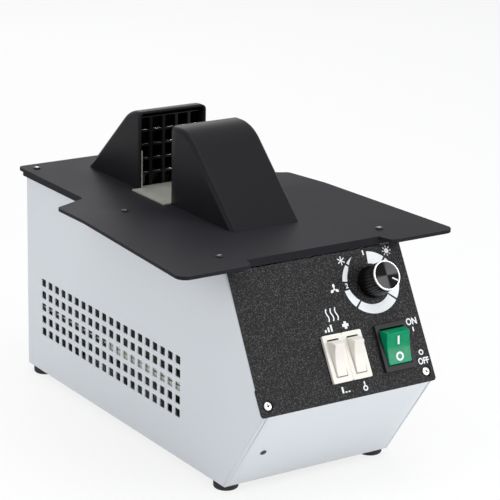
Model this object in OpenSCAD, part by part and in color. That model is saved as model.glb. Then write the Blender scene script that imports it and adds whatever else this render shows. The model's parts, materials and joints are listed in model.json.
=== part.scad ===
// Hot-air frame warmer: a folded steel cabinet with a leaning control panel, a winged top
// tray and two facing air hoods, with the blower, heater and controls that it holds.
// X runs across the counter, -Y faces the user and Z is up. The origin lies on the counter,
// under the middle of the whole object. Sizes are in millimetres.

/* [Cabinet] */
// Width of the steel cabinet
body_w = 136; // [130:1:150]
// Length of the cabinet, from its nose to its rear face
body_l = 322; // [316:1:350]
// Height of the side panels
body_h = 152.4; // [150:0.2:170]
// Height of the nose, where the control panel meets the chin
nose_h = 65.2; // [62:0.2:70]
// How far the chin slopes back from the nose to the base
chin_setback = 47; // [40:1:50]
// Lean of the control panel from upright, in degrees
panel_lean = 29.5; // [26:0.5:32]
// Thickness of the sheet steel
sheet_t = 1.2; // [0.8:0.1:1.6]
// Width of the folded flanges
flange_w = 12; // [11:0.5:14]
// Open seam between two neighbouring panels
seam = 0.3; // [0.2:0.05:0.5]
// Air left between two sheets that lie on each other
lap = 0.1; // [0.05:0.05:0.2]

/* [Side vents] */
// Vent holes along each side
vent_columns = 20; // [12:1:20]
// Vent holes up each side
vent_rows = 5; // [3:1:5]
// Spacing of the holes along the side
vent_pitch_y = 10; // [9:0.5:10.5]
// Spacing of the holes up the side
vent_pitch_z = 9.5; // [9:0.5:10.5]
// Length of one hole
vent_w = 6.5; // [5:0.5:7.5]
// Height of one hole
vent_h = 6; // [5:0.5:7.5]
// Cut corner of one hole
vent_corner = 0.9; // [0.4:0.1:1.4]
// Distance of the rearmost column from the rear face
vent_rear = 27; // [22:1:32]
// Height of the lowest row above the base
vent_low = 33.4; // [28:0.2:36]

/* [Feet] */
// Height of one rubber foot
foot_h = 4.5; // [3.5:0.5:8]
// Radius of one foot
foot_r = 8.5; // [7.5:0.5:9]

/* [Control panel] */
// Thickness of the black plate
plate_t = 1.5; // [1:0.1:2]
// Open seam between the plate's top edge and the skirt of the tray
plate_gap = 0.8; // [0.6:0.1:2]
// How far the plate stands out beyond each side of the cabinet
plate_lip = 1.5; // [0.5:0.1:2.5]
// Middle of the knob, from the middle of the plate
knob_u = 38.8; // [36:0.2:41]
// Middle of the knob, up the slope
knob_v = 72.4; // [70:0.2:73]
// Middle of the switches, up the slope
switch_v = 27.4; // [26:0.2:29]
// Middle of the pair of narrow switches, from the middle of the plate
pair_u = 3.9; // [2:0.1:6]
// Middle of the power switch, from the middle of the plate
power_u = 43.4; // [42:0.2:44]

/* [Switches] */
// Width of a narrow switch's bezel
narrow_w = 15.35; // [15:0.05:16]
// Width of the power switch's bezel
power_w = 25.4; // [24:0.2:26]
// Height of the bezels up the slope
bezel_l = 32; // [31:0.2:34]
// How far a bezel stands out of the plate
bezel_h = 2.2; // [1.8:0.1:3]
// Side border of a narrow bezel, beside its rocker
narrow_side = 3.1; // [2.8:0.1:3.4]
// Side border of the power switch's bezel
power_side = 2.7; // [2.5:0.1:3]
// Radius of a rocker's round ends about its pivot
rocker_r = 12.1; // [11:0.1:12.6]
// Tilt of a rocker to either side of level, in degrees
rocker_tilt = 18; // [12:0.5:18]
// Clearance all round a rocker
rocker_gap = 0.3; // [0.2:0.05:0.5]
// Radius of a rocker's pivot pins
pivot_r = 1.1; // [0.8:0.1:1.2]
// Depth of a switch's body behind the plate
switch_depth = 22; // [18:1:26]

/* [Knob] */
// Radius of the knob's cap
knob_r = 10.2; // [9:0.1:12]
// How much wider the knob is at its base
knob_flare = 0.8; // [0.2:0.1:1.2]
// Height of the knob's face above the plate
knob_h = 20; // [18:0.5:24]
// Thickness of the metal cap
cap_t = 1.2; // [0.8:0.1:2]
// Flutes round the knob
flutes = 30; // [18:1:36]
// Radius of the control's shaft
shaft_r = 3; // [2.5:0.1:3.2]
// Direction of the pointer at rest, in degrees from the +X side
pointer_angle = 328; // [0:1:359]

/* [Tray] */
// Thickness of the tray's plate
tray_t = 2.4; // [2:0.1:3]
// Depth of the tray's skirt below its plate
skirt_h = 4.6; // [3:0.2:6]
// Depth of the skirt along the tray's front edge
front_skirt_h = 3; // [2.4:0.1:3.6]
// Thickness of the skirt
skirt_t = 1.8; // [1.2:0.1:2.4]
// Width across the wings at the front
wing_front_w = 218; // [205:1:225]
// Width across the wings at the rear
wing_rear_w = 194; // [185:1:203]
// Front edge of the wings, from the nose
wing_front_y = 36; // [34:0.5:38]
// Rear end of the wings, from the nose
wing_rear_y = 225; // [212:1:228]
// How far the wings' rear edges slant back towards the cabinet
wing_slant = 5; // [2:0.5:8]
// How far the rear of the tray stands out beyond each side
tray_side = 5.4; // [4:0.2:7]
// How far the tray stands out behind the cabinet
tray_rear = 2; // [2:0.2:6]
// Depth of the notch in the tray's front edge
notch_l = 11.5; // [11:0.5:13]
// Width of the notch
notch_w = 106; // [98:1:112]

/* [Hoods] */
// Width of both hoods
hood_w = 55.4; // [52:0.2:58]
// Height of both hoods above the tray
hood_h = 56.2; // [54:0.1:62]
// Depth of the front hood
front_hood_l = 79; // [76:0.5:82]
// Depth of the rear hood
rear_hood_l = 75; // [71:0.5:77]
// Angle of the outer slope from level, in degrees
hood_slope = 43; // [42:0.1:46]
// Radius where the slope turns into the top
hood_round = 32; // [12:0.5:34]
// Radius of the top edge above the grille
hood_lip_round = 3; // [2:0.5:4]
// Wall of the hoods
hood_wall = 1.6; // [1.2:0.1:2]
// Free gap between the two hoods
hood_gap = 44; // [42:0.5:48]
// Middle of that gap, from the nose
gap_y = 203.2; // [201:0.2:205]
// Thickness of the metal floor in the gap
floor_t = 1; // [0.8:0.1:1.4]
// Width of the metal floor
floor_w = 67; // [64:0.5:70]
// Height of the floor's upright lugs
lug_h = 28; // [20:1:34]

/* [Grilles] */
// Openings across a grille
grille_columns = 5; // [4:1:6]
// Openings up a grille
grille_rows = 5; // [4:1:6]
// Width of the upright bars
bar_w = 2.6; // [2:0.1:3.2]
// Height of the level bars
bar_h = 1.8; // [1.4:0.1:2.6]
// Depth of a grille
grille_t = 6; // [4:0.5:8]
// How far a grille sits back inside its hood
grille_recess = 4; // [3:0.5:6]
// Room between a grille and the top of its hood
grille_top = 3; // [2.6:0.1:5]
// Width of the thin frame round a grille
grille_rim = 0.8; // [0.6:0.1:1.4]

/* [Blower] */
// Radius of the fan wheel
wheel_r = 27; // [25:0.5:28]
// Width of the fan wheel
wheel_w = 34; // [30:0.5:35]
// Blades round the fan wheel
blades = 24; // [16:1:30]
// Inner width of the blower's housing
scroll_w = 40; // [39:0.5:41]
// Wall of the blower's housing
scroll_wall = 1.2; // [1:0.1:1.6]
// Height of the fan's axis above the base
fan_z = 46; // [45:0.5:48]
// Radius of the motor's can
motor_r = 23; // [21:0.5:24]
// Length of the motor's can
motor_l = 34; // [32:0.5:35]
// Radius of the motor's shaft
motor_shaft_r = 2.5; // [2:0.1:3]
// Height of the deck that carries the blower
deck_z = 51.6; // [51:0.2:54]

/* [Air path] */
// Inner height of the heater box
heater_h = 24; // [22:0.5:26]
// Wall of the heater box and the plenum
duct_wall = 0.8; // [0.6:0.1:1]
// Inner width of the plenum
plenum_w = 54; // [52:0.5:58]

/* [Rear inlet] */
// Width of the mains inlet's flange
inlet_w = 48; // [46:0.5:50]
// Height of the mains inlet's flange
inlet_h = 27; // [26:0.5:30]
// Width of the inlet's socket
socket_w = 24.4; // [24:0.1:25]
// Height of the inlet's socket
socket_h = 16.8; // [16.4:0.1:17]
// Depth of the inlet's socket
socket_l = 16; // [14:0.5:18]
// Height of the inlet above the base
inlet_z = 32; // [28:0.5:34]

/* [Screws] */
// Shank radius of the tapping screws
shank_r = 1.4; // [1.2:0.1:1.6]
// Clearance round a shank
shank_gap = 0.1; // [0.05:0.05:0.2]

/* [Hidden] */
$fn = 40;
arc_steps = 6;
fit = 0.05;
half_w = body_w / 2;
overall_l = body_l + tray_rear;
tray_z = body_h + tray_t;
hole_r = shank_r + shank_gap;

notch_y = wing_front_y + notch_l;

// Outline of the cabinet from the side
nose_in = [plate_t * cos(panel_lean), nose_h - plate_t * sin(panel_lean)];
chin_low = [chin_setback, 0];
slope_top_z = body_h - front_skirt_h - 0.2;
slope_top = [nose_in.x + (slope_top_z - nose_in.y) * tan(panel_lean), slope_top_z];
front_y = notch_y + lap + skirt_t + 2 * lap;
front_top = [front_y, body_h];
rear_low = [body_l, 0];
rear_top = [body_l, body_h];
inner_half = half_w - sheet_t - seam;
flange_x = half_w - flange_w;
chin_dir = (chin_low - nose_in) / norm(chin_low - nose_in);
chin_tilt = atan2(chin_dir.y, chin_dir.x);
corner_relief = 3;
return_w = 12;

// Control panel
plate_l = (body_h - front_skirt_h - plate_gap - nose_h) / cos(panel_lean);

// Screws of the cabinet
tray_screw_x = half_w - 4.1;
tray_screw_ys = [wing_front_y + 26, gap_y - 20.4, body_l - 10];
panel_screw_u = half_w - 4.8;
panel_screw_v = 7;
rear_screw_x = half_w - 7;
rear_screw_zs = [14, body_h - 16];
base_screw_x = half_w - 7;
foot_x = half_w - foot_r - 0.4;
foot_ys = [chin_setback + foot_r + 1.5, body_l - foot_r - 3];
stud_x = -half_w + 17.6;
stud_along = 43.5;

// Tray outline, one half, from the middle of its front edge to its rear corner
rear_half = half_w + tray_side;
notch_splay = 2.5;
notch_toe = [4, 1.5];
tray_half = [
    [notch_w / 2, notch_y], [notch_w / 2 + notch_splay, wing_front_y + notch_toe.y],
    [notch_w / 2 + notch_splay + notch_toe.x, wing_front_y], [wing_front_w / 2, wing_front_y],
    [wing_rear_w / 2, wing_rear_y - wing_slant], [rear_half, wing_rear_y], [rear_half, overall_l]
];
tray_radii = [1, 2, 3, 7, 5, 3, 4];

// Hoods
front_face_y = gap_y - hood_gap / 2;
rear_face_y = gap_y + hood_gap / 2;
throat_l = 40;
throat_w = 38;
throat_inset = 8;
grille_w = hood_w - 2 * hood_wall - 2 * lap;
grille_h = hood_h - hood_wall - grille_top;
lug_t = 1;
lug_l = grille_recess - lap;
pitch_x = (grille_w - 2 * grille_rim + bar_w) / grille_columns;
pitch_z = (grille_h - 2 * grille_rim + bar_h) / grille_rows;
boss_r = 3.2;
boss_h = 9;
boss_x = hood_w / 2 - hood_wall - boss_r + 0.4;

// Switches
pair_us = [pair_u - narrow_w / 2 - lap / 2, pair_u + narrow_w / 2 + lap / 2];
well_half = rocker_r + rocker_gap;
well_depth = 7;
rocker_end = 32;
rocker_edge = rocker_r * [cos(rocker_end), sin(rocker_end)];
rocker_mid = rocker_edge.y - 1.4;
rocker_low = 2.4;
bezel_lap = 1.4;
pin_reach = 1.1;
blade_w = 4.8;
blade_t = 0.8;
blade_l = 8;

// Dial control
control_r = 12;
control_l = 11;
bush_r = 3.6 + (shaft_r - 3);
bush_h = 4;
nut_r = 6;
nut_h = 2;
knob_foot = 1;
knob_recess = 3.4;
shaft_reach = knob_h - cap_t - 2;

// Blower, heater and plenum
scroll_r0 = wheel_r + 4;
scroll_growth = 12;
tongue = 75;
scroll_sweep = 180 + tongue;
outlet_z = fan_z + wheel_r + 19;
outlet_y0 = gap_y - scroll_r0 - scroll_growth;
outlet_y1 = gap_y + scroll_r0 * cos(tongue);
scroll_half = scroll_w / 2 + scroll_wall;
inlet_ring_r = wheel_r - 6;
ear_l = 13;
motor_x0 = scroll_half + lap;
bearing_r = 6;
bearing_w = 4;
rotor_r = 12.5;
rotor_l = 16;
stator_bore_r = rotor_r + 0.6;
heater_z = outlet_z + lap;
plenum_z = heater_z + heater_h + lap;
plenum_y0 = front_face_y - throat_inset - throat_l - 2;
plenum_y1 = rear_face_y + throat_inset + throat_l + 2;
plenum_top = body_h - lap;
plenum_screw_x = 10;
deck_y0 = outlet_y0 - 17;
deck_y1 = body_l - 22;
deck_half = half_w - sheet_t - 0.5;
ear_hole_inset = 5.5;
window_gap = 2;
rear_ear_y = gap_y + scroll_r0 + 3;
heater_half = scroll_half;
heater_y0 = outlet_y0 - scroll_wall;
heater_y1 = outlet_y1 + scroll_wall;
base_hole_x = 46;
base_hole_ys = [chin_setback + 8, deck_y0 + 8, deck_y1 - 8];
ear_holes = [[-12, outlet_y0 - ear_l + ear_hole_inset], [12, outlet_y0 - ear_l + ear_hole_inset],
             [-12, rear_ear_y + ear_l - ear_hole_inset + 2], [12, rear_ear_y + ear_l - ear_hole_inset + 2]];
deck_leg_w = 14;
deck_leg_foot = 14;
frame_xs = [-15, 0, 15];
frame_t = 1;
coil_rows = [6, 12, 18];
coil_ys = [for (i = [0:4]) outlet_y0 + 6 + i * 9];
coil_r = 1.1;
coil_end = 2.5;
cutout_r = 8;
cutout_h = 6;
cutout_tab_y = 12;
cutout_tab_w = 6;
plenum_lip = 9;

// Circuit board and rear fittings
board_w = 74;
board_l = 60;
board_t = 1.6;
board_y = chin_setback + 32;
board_z = 10;
board_top = board_z + board_t + lap;
post_r = 3;
post_inset = 5;
post_places = [for (sx = [-1, 1], sy = [-1, 1])
    [sx * (board_w / 2 - post_inset), board_y + board_l / 2 + sy * (board_l / 2 - post_inset)]];
sink_x = -board_w / 2 + 11;
sink_y = 12;
sink_w = 16;
sink_h = 22;
fin_t = 1.4;
fin_pitch = 4;
fins = 6;
relay_x = 2;
relay_y = 10;
relay_w = 15;
relay_l = 19;
can_y = board_l - 16;
can_xs = [6, 22];
can_rs = [6.5, 5];
can_hs = [24, 16];
plug_w = 20;
plug_l = 8;
plug_h = 9;
block_x = -52;
block_w = 18;
block_l = 44;
block_h = 12;
block_y = deck_y1 - 20 - block_l;
fuse_x = 34;
fuse_r = 7;
fuse_body_r = 6;
fuse_holder_l = 30;
fuse_face_t = 1.4;
fuse_bore_r = 4.4;
fuse_cap_r = 5.4;
fuse_cap_t = 0.5;
fuse_plug_l = 6.4;
glass_r = 2.5;
glass_l = 20;
inlet_flange_t = 1.8;
inlet_screw_x = 20;
sunk_r = 2.6;
sunk_h = 1.1;
inlet_pin_places = [[-7, -2], [7, -2], [0, 2]];
pin_w = 2;
pin_h = 4;
pin_tail = 10;

// ---- Shared shapes ----

// Moves a piece from the cabinet's frame (nose at y = 0, base at z = 0) to the part's frame
module at_nose() translate([0, -overall_l / 2, foot_h]) children();

// Extrudes an outline drawn in Y and Z along X
module slab(x0, x1) translate([x0, 0, 0]) rotate([90, 0, 90]) linear_extrude(x1 - x0) children();

// A cylinder along +X
module bar(r, l) rotate([0, 90, 0]) cylinder(r = r, h = l);

// The control panel's frame: u across, v up the slope, n out of the plate's face
module on_panel(u = 0, v = 0, n = 0)
    translate([0, 0, nose_h]) rotate([90 - panel_lean, 0, 0]) translate([u, v, n]) children();

// A box centred in X and Y that stands on z = 0
module block(w, l, h) translate([-w / 2, -l / 2, 0]) cube([w, l, h]);

// The points of an arc that rounds the corner p between its neighbours a and b
function corner(a, p, b, r) =
    let (u = (a - p) / norm(a - p),
         w = (b - p) / norm(b - p),
         half = acos(u * w) / 2,
         c = p + (u + w) / norm(u + w) * r / sin(half),
         from = p + u * r / tan(half) - c,
         to = p + w * r / tan(half) - c,
         a0 = atan2(from.y, from.x),
         turn = (atan2(to.y, to.x) - a0 + 540) % 360 - 180)
    [for (i = [0:arc_steps]) c + r * [cos(a0 + turn * i / arc_steps), sin(a0 + turn * i / arc_steps)]];

// An outline with each corner rounded by its own radius
function rounded(pts, radii) =
    let (n = len(pts))
    [for (i = [0:n - 1]) each (radii[i] <= 0 ? [pts[i]]
        : corner(pts[(i + n - 1) % n], pts[i], pts[(i + 1) % n], radii[i]))];

// A rectangle with cut corners, centred
function cut_rect(w, h, c) =
    [[-w / 2 + c, -h / 2], [w / 2 - c, -h / 2], [w / 2, -h / 2 + c], [w / 2, h / 2 - c],
     [w / 2 - c, h / 2], [-w / 2 + c, h / 2], [-w / 2, h / 2 - c], [-w / 2, -h / 2 + c]];

// A rectangle with round corners, centred
function round_rect(w, h, r) =
    rounded([[-w / 2, -h / 2], [w / 2, -h / 2], [w / 2, h / 2], [-w / 2, h / 2]], [r, r, r, r]);

// A folded flange along the edge from p to q, lying inset behind it
module fold(p, q, inset, lead, trail) {
    along = (q - p) / norm(q - p);
    inward = [-along.y, along.x];
    a = p + along * lead + inward * inset;
    b = q - along * trail + inward * inset;
    polygon([a, b, b + inward * sheet_t, a + inward * sheet_t]);
}

// A cross-head screw that points down -Z, with the underside of its head at z = 0
module screw(head_r, head_h, length, r = shank_r) {
    recess = head_r * 0.34;
    difference() {
        union() {
            translate([0, 0, -length]) cylinder(r = r, h = length + head_h / 2);
            cylinder(r = head_r, h = head_h * 0.45);
            translate([0, 0, head_h * 0.45]) cylinder(r1 = head_r, r2 = head_r * 0.72, h = head_h * 0.55);
        }
        for (turn = [0, 90]) translate([0, 0, head_h * 0.5]) rotate(turn) block(recess * 3.2, recess, head_h);
    }
}

module mirrored_x() {
    children();
    mirror([1, 0, 0]) children();
}

// ---- Cabinet ----

module vent_holes() {
    first_y = body_l - vent_rear;
    slab(half_w - 2 * sheet_t, half_w + 1)
        for (c = [0:vent_columns - 1], r = [0:vent_rows - 1])
            translate([first_y - c * vent_pitch_y, vent_low + r * vent_pitch_z])
                polygon(cut_rect(vent_w, vent_h, vent_corner));
}

// The right side panel, drawn with its folded flanges
module side_panel() {
    inset = sheet_t + lap;
    difference() {
        union() {
            slab(half_w - sheet_t, half_w)
                polygon([nose_in, chin_low, rear_low, rear_top, front_top, [front_y, slope_top_z], slope_top]);
            slab(flange_x, half_w - sheet_t / 2) {
                fold(nose_in, chin_low, inset, corner_relief, corner_relief + inset);
                fold(chin_low, rear_low, inset, corner_relief + 2, corner_relief);
                fold(rear_low, rear_top, inset, corner_relief, corner_relief);
                fold(rear_top, front_top, 0, inset + corner_relief, corner_relief + sheet_t);
                fold(slope_top, nose_in, 0, 0.5, 1.5);
            }
        }
        vent_holes();
        for (y = tray_screw_ys)
            translate([tray_screw_x, y, body_h - 2 * sheet_t]) cylinder(r = hole_r, h = 3 * sheet_t);
        on_panel(panel_screw_u, panel_screw_v, -plate_t - 2 * sheet_t) cylinder(r = hole_r, h = 3 * sheet_t);
        for (z = rear_screw_zs)
            translate([rear_screw_x, body_l + 1, z]) rotate([90, 0, 0]) cylinder(r = hole_r, h = 5);
        for (y = foot_ys) translate([foot_x, y, 0]) cylinder(r = hole_r, h = 5);
    }
}

module right_side() color("gainsboro") at_nose() side_panel();

module left_side() color("gainsboro") at_nose() mirror([1, 0, 0]) side_panel();

module base_plate() {
    y0 = chin_setback - sheet_t / chin_dir.y + seam;
    y1 = body_l - sheet_t - seam;
    color("lightgray") at_nose() difference() {
        translate([-inner_half, y0, 0]) cube([2 * inner_half, y1 - y0, sheet_t]);
        for (y = foot_ys) mirrored_x() translate([foot_x, y, -1]) cylinder(r = hole_r, h = sheet_t + 2);
        for (y = base_hole_ys, x = [-base_hole_x, base_hole_x])
            translate([x, y, -1]) cylinder(r = hole_r, h = sheet_t + 2);
    }
}

// The sloping sheet under the nose, with one return behind the plate and one over the base
module chin_panel() {
    half = inner_half;
    return_half = flange_x - 1;
    color("ghostwhite") at_nose() difference() {
        union() {
            slab(-half, half) fold(nose_in, chin_low, 0, 0, seam);
            slab(-return_half, return_half) {
                fold(slope_top, nose_in, 0, norm(slope_top - nose_in) - return_w, 0);
                fold(chin_low, rear_low, sheet_t + lap, 0.4, norm(rear_low - chin_low) - return_w);
            }
            slab(-return_half, return_half)
                polygon([chin_low + [0.4, sheet_t + lap], chin_low + [2, sheet_t + lap],
                         chin_low - chin_dir * 3 + [1.6, 0], chin_low - chin_dir * 3 + [0.4, 0]]);
        }
        for (x = [-base_hole_x, base_hole_x])
            translate([x, base_hole_ys[0], -1]) cylinder(r = hole_r, h = 6);
        stud_place() translate([0, 0, -3]) cylinder(r = hole_r, h = 6);
    }
}

// The frame of the small stud in the chin: its axis along the chin's outward normal
module stud_place()
    translate([stud_x, nose_in.x + chin_dir.x * stud_along, nose_in.y + chin_dir.y * stud_along])
        rotate([chin_tilt + 180, 0, 0]) children();

module chin_stud() color("silver") at_nose() stud_place() translate([0, 0, lap]) {
    cylinder(r = 2.1, h = 0.5);
    translate([0, 0, -3]) cylinder(r = shank_r, h = 3.2);
}

module rear_panel() {
    color("gainsboro") at_nose() difference() {
        translate([-inner_half, body_l - sheet_t, 0]) cube([2 * inner_half, sheet_t, body_h - lap]);
        for (z = rear_screw_zs) mirrored_x()
            translate([rear_screw_x, body_l + 1, z]) rotate([90, 0, 0]) cylinder(r = hole_r, h = 5);
        translate([0, body_l + 1, inlet_z]) rotate([90, 0, 0])
            linear_extrude(5) polygon(round_rect(socket_w + 5, socket_h + 5, 3));
        for (s = [-1, 1]) translate([s * inlet_screw_x, body_l + 1, inlet_z])
            rotate([90, 0, 0]) cylinder(r = hole_r, h = 5);
        translate([fuse_x, body_l + 1, inlet_z]) rotate([90, 0, 0]) cylinder(r = fuse_body_r + lap, h = 5);
    }
}

module feet() color("dimgray") at_nose() for (y = foot_ys) mirrored_x() translate([foot_x, y, -foot_h])
    difference() {
        union() {
            cylinder(r1 = foot_r - 0.8, r2 = foot_r, h = 1);
            translate([0, 0, 1]) cylinder(r = foot_r, h = foot_h - 1 - lap);
        }
        translate([0, 0, -1]) cylinder(r = 3.4, h = foot_h - 0.5);
        cylinder(r = hole_r, h = foot_h + 1);
    }

module foot_screws() color("silver") at_nose() for (y = foot_ys) mirrored_x()
    translate([foot_x, y, -1.6]) mirror([0, 0, 1]) screw(3, 1.6, 6);

module base_screws() color("silver") at_nose() for (y = base_hole_ys, x = [-base_hole_x, base_hole_x])
    translate([x, y, -lap]) mirror([0, 0, 1]) screw(2.6, 1.4, 5);

module rear_screws() color("silver") at_nose() for (z = rear_screw_zs) mirrored_x()
    translate([rear_screw_x, body_l + lap, z]) rotate([-90, 0, 0]) screw(3, 1.6, 6);

// ---- Control panel ----

module control_panel() color([0.17, 0.17, 0.17]) at_nose() on_panel() difference() {
    translate([-half_w - plate_lip, 0, -plate_t]) cube([body_w + 2 * plate_lip, plate_l, plate_t]);
    for (u = pair_us) translate([u, switch_v, -plate_t - 1])
        linear_extrude(plate_t + 2) square([body_cut(narrow_w), bezel_l - 2 * bezel_lap], center = true);
    translate([power_u, switch_v, -plate_t - 1])
        linear_extrude(plate_t + 2) square([body_cut(power_w), bezel_l - 2 * bezel_lap], center = true);
    translate([knob_u, knob_v, -plate_t - 1]) cylinder(r = bush_r + lap, h = plate_t + 2);
    for (s = [-1, 1]) translate([s * panel_screw_u, panel_screw_v, 0]) {
        translate([0, 0, -plate_t - 1]) cylinder(r = hole_r, h = plate_t + 2);
        translate([0, 0, -0.9]) cylinder(r1 = 3.3, r2 = 3.9, h = 1);
    }
}

module panel_screws() color("silver") at_nose() for (s = [-1, 1])
    on_panel(s * panel_screw_u, panel_screw_v, -0.8) screw(3.1, 1.2, 6);

// Width of the hole that a switch of this bezel width snaps into
function body_cut(w) = w - 2 * bezel_lap + 2 * lap;

module switch_housing(w, side) {
    body_w_in = w - 2 * bezel_lap;
    body_l_in = bezel_l - 2 * bezel_lap - 2 * lap;
    well_w = w - 2 * side;
    difference() {
        union() {
            translate([0, 0, lap]) linear_extrude(bezel_h - 0.7) polygon(cut_rect(w, bezel_l, 0.8));
            translate([0, 0, bezel_h - 0.6]) linear_extrude(0.6) polygon(cut_rect(w - 1, bezel_l - 1, 0.8));
            translate([0, 0, -switch_depth]) block(body_w_in, body_l_in, switch_depth + bezel_h / 2);
        }
        translate([0, 0, -well_depth]) block(well_w, 2 * well_half, well_depth + bezel_h + 1);
        translate([-well_w / 2 - pin_reach, 0, 0]) bar(pivot_r + fit, well_w + 2 * pin_reach);
    }
}

// A rocker in its own frame, level, with its pivot at the origin and its V-shaped face up
module rocker_level(w, side) {
    rw = w - 2 * side - rocker_gap;
    brow = rocker_mid + (rocker_edge.y - rocker_mid) / rocker_edge.x * rocker_r;
    intersection() {
        translate([-rw / 2, 0, 0]) bar(rocker_r, rw);
        slab(-rw / 2, rw / 2) polygon([[-rocker_r, -rocker_low], [rocker_r, -rocker_low],
            [rocker_r, brow], [0, rocker_mid], [-rocker_r, brow]]);
    }
    translate([-rw / 2 - rocker_gap / 2 - pin_reach + 0.2, 0, 0])
        bar(pivot_r, rw + rocker_gap + 2 * pin_reach - 0.4);
}

module rocker_at(u, w, side) on_panel(u, switch_v, 0) rotate([rocker_tilt, 0, 0]) rocker_level(w, side);

module heat_switch() color("ivory") at_nose() on_panel(pair_us[0], switch_v)
    switch_housing(narrow_w, narrow_side);

module heat_rocker() color("ivory") at_nose() rocker_at(pair_us[0], narrow_w, narrow_side);

module boost_switch() color("ivory") at_nose() on_panel(pair_us[1], switch_v)
    switch_housing(narrow_w, narrow_side);

module boost_rocker() color("ivory") at_nose() rocker_at(pair_us[1], narrow_w, narrow_side);

module power_switch() color([0.2, 0.2, 0.21]) at_nose() on_panel(power_u, switch_v)
    switch_housing(power_w, power_side);

module power_rocker() color([0.05, 0.65, 0.42]) at_nose() rocker_at(power_u, power_w, power_side);

module switch_blades() color("goldenrod") at_nose() {
    for (u = pair_us, v = [-8, 0, 8]) blade(u, v);
    for (s = [-1, 1], v = [-6, 6]) blade(power_u + s * 5.5, v);
}

module blade(u, v) on_panel(u, switch_v + v, -switch_depth - blade_l)
    block(blade_w, blade_t, blade_l - lap);

// ---- Dial control and knob ----

module knob() color([0.1, 0.1, 0.1]) at_nose() on_panel(knob_u, knob_v) difference() {
    top = knob_h - cap_t - lap;
    translate([0, 0, knob_foot]) cylinder(r1 = knob_r + knob_flare, r2 = knob_r, h = top - knob_foot);
    for (i = [0:flutes - 1]) rotate(i * 360 / flutes)
        translate([knob_r + knob_flare + 0.35, 0, knob_foot + 1.5]) cylinder(r = 0.8, h = knob_h, $fn = 16);
    translate([0, 0, knob_foot - 1]) cylinder(r = nut_r + 1.4, h = knob_recess + 1);
    cylinder(r = shaft_r + fit, h = shaft_reach + lap);
}

module knob_cap() color("silver") at_nose() on_panel(knob_u, knob_v, knob_h - cap_t) difference() {
    union() {
        cylinder(r = knob_r, h = cap_t - 0.3);
        translate([0, 0, cap_t - 0.3]) cylinder(r1 = knob_r, r2 = knob_r - 0.3, h = 0.3);
    }
    translate([0, 0, cap_t - 0.3]) cylinder(r = knob_r - 1.1, h = 1);
    rotate(pointer_angle) translate([3.2, -0.45, cap_t - 0.6]) cube([knob_r - 4.4, 0.9, 1]);
}

module control_shaft() color("silver") at_nose() on_panel(knob_u, knob_v, -control_l + 2) difference() {
    cylinder(r = shaft_r, h = control_l - 2 + shaft_reach);
    translate([-shaft_r, shaft_r * 0.66, control_l + bush_h]) cube([2 * shaft_r, shaft_r, knob_h]);
}

module dial_control() color("darkgray") at_nose() on_panel(knob_u, knob_v) difference() {
    union() {
        translate([0, 0, -plate_t - lap - control_l]) cylinder(r = control_r, h = control_l);
        translate([0, 0, -plate_t - lap - 1]) cylinder(r = bush_r, h = plate_t + lap + 1 + bush_h - 0.5);
        for (x = [-5, 0, 5]) translate([x, -control_r - 3, -plate_t - lap - control_l / 2]) block(2, 9, 0.8);
    }
    translate([0, 0, -control_l + 2 - lap]) cylinder(r = shaft_r + fit, h = control_l + bush_h + 3);
}

module control_nut() color("silver") at_nose() on_panel(knob_u, knob_v, lap) difference() {
    cylinder(r = nut_r, h = nut_h, $fn = 6);
    translate([0, 0, -1]) cylinder(r = bush_r + fit, h = nut_h + 2);
}

// ---- Tray, hoods and grilles ----

module tray_outline() {
    last = len(tray_half) - 1;
    pts = concat(tray_half, [for (i = [last:-1:0]) [-tray_half[i].x, tray_half[i].y]]);
    radii = concat(tray_radii, [for (i = [last:-1:0]) tray_radii[i]]);
    polygon(rounded(pts, radii));
}

// The skirt that hangs from the plate, just outside the cabinet's sides. It is shallower in front
module tray_skirt() {
    out = half_w + seam + skirt_t;
    in = half_w + seam;
    y0 = notch_y + lap + skirt_t - 0.3;
    y1 = overall_l - lap;
    translate([0, 0, body_h - skirt_h]) linear_extrude(skirt_h + tray_t / 2) difference() {
        translate([-out, y0]) square([2 * out, y1 - y0]);
        translate([-in, y0 - 1]) square([2 * in, body_l + seam - y0 + 1]);
    }
    translate([-out, notch_y + lap, body_h - front_skirt_h])
        cube([2 * out, skirt_t, front_skirt_h + tray_t / 2]);
}

module tray() color([0.22, 0.22, 0.24]) at_nose() difference() {
    union() {
        translate([0, 0, body_h]) linear_extrude(tray_t) tray_outline();
        tray_skirt();
    }
    for (y = tray_screw_ys) mirrored_x() translate([tray_screw_x, y, body_h - 1]) {
        cylinder(r = hole_r, h = tray_t + 2);
        translate([0, 0, tray_t]) cylinder(r1 = 3.9, r2 = 4.6, h = 1.1);
    }
    throats(body_h - 1, tray_t + 2);
    hood_screw_places() translate([0, 0, -tray_t - 1]) cylinder(r = hole_r, h = tray_t + 2);
    plenum_screw_places() translate([0, 0, -lap]) cylinder(r = hole_r, h = tray_t - 0.8);
}

// The two air openings through the tray, under the hoods
module throats(z, h) {
    translate([-throat_w / 2, front_face_y - throat_inset - throat_l, z]) cube([throat_w, throat_l, h]);
    translate([-throat_w / 2, rear_face_y + throat_inset, z]) cube([throat_w, throat_l, h]);
}

// The side outline of a hood of this depth, grown inwards by inset; its grille face is at y = 0
function hood_outline(depth, inset) =
    let (top = hood_h - inset,
         toe = depth - inset / sin(hood_slope),
         flat = toe - top / tan(hood_slope),
         crown_r = min(hood_round - inset, (flat - hood_lip_round) / tan(hood_slope / 2)),
         under = inset > 0 ? 1 : 0,
         mouth = inset > 0 ? -1 : 0)
    rounded([[mouth, -under], [toe + under / tan(hood_slope), -under],
             [flat, top], [mouth, top]],
            [0, 0, crown_r, inset > 0 ? 0 : hood_lip_round]);

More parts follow.
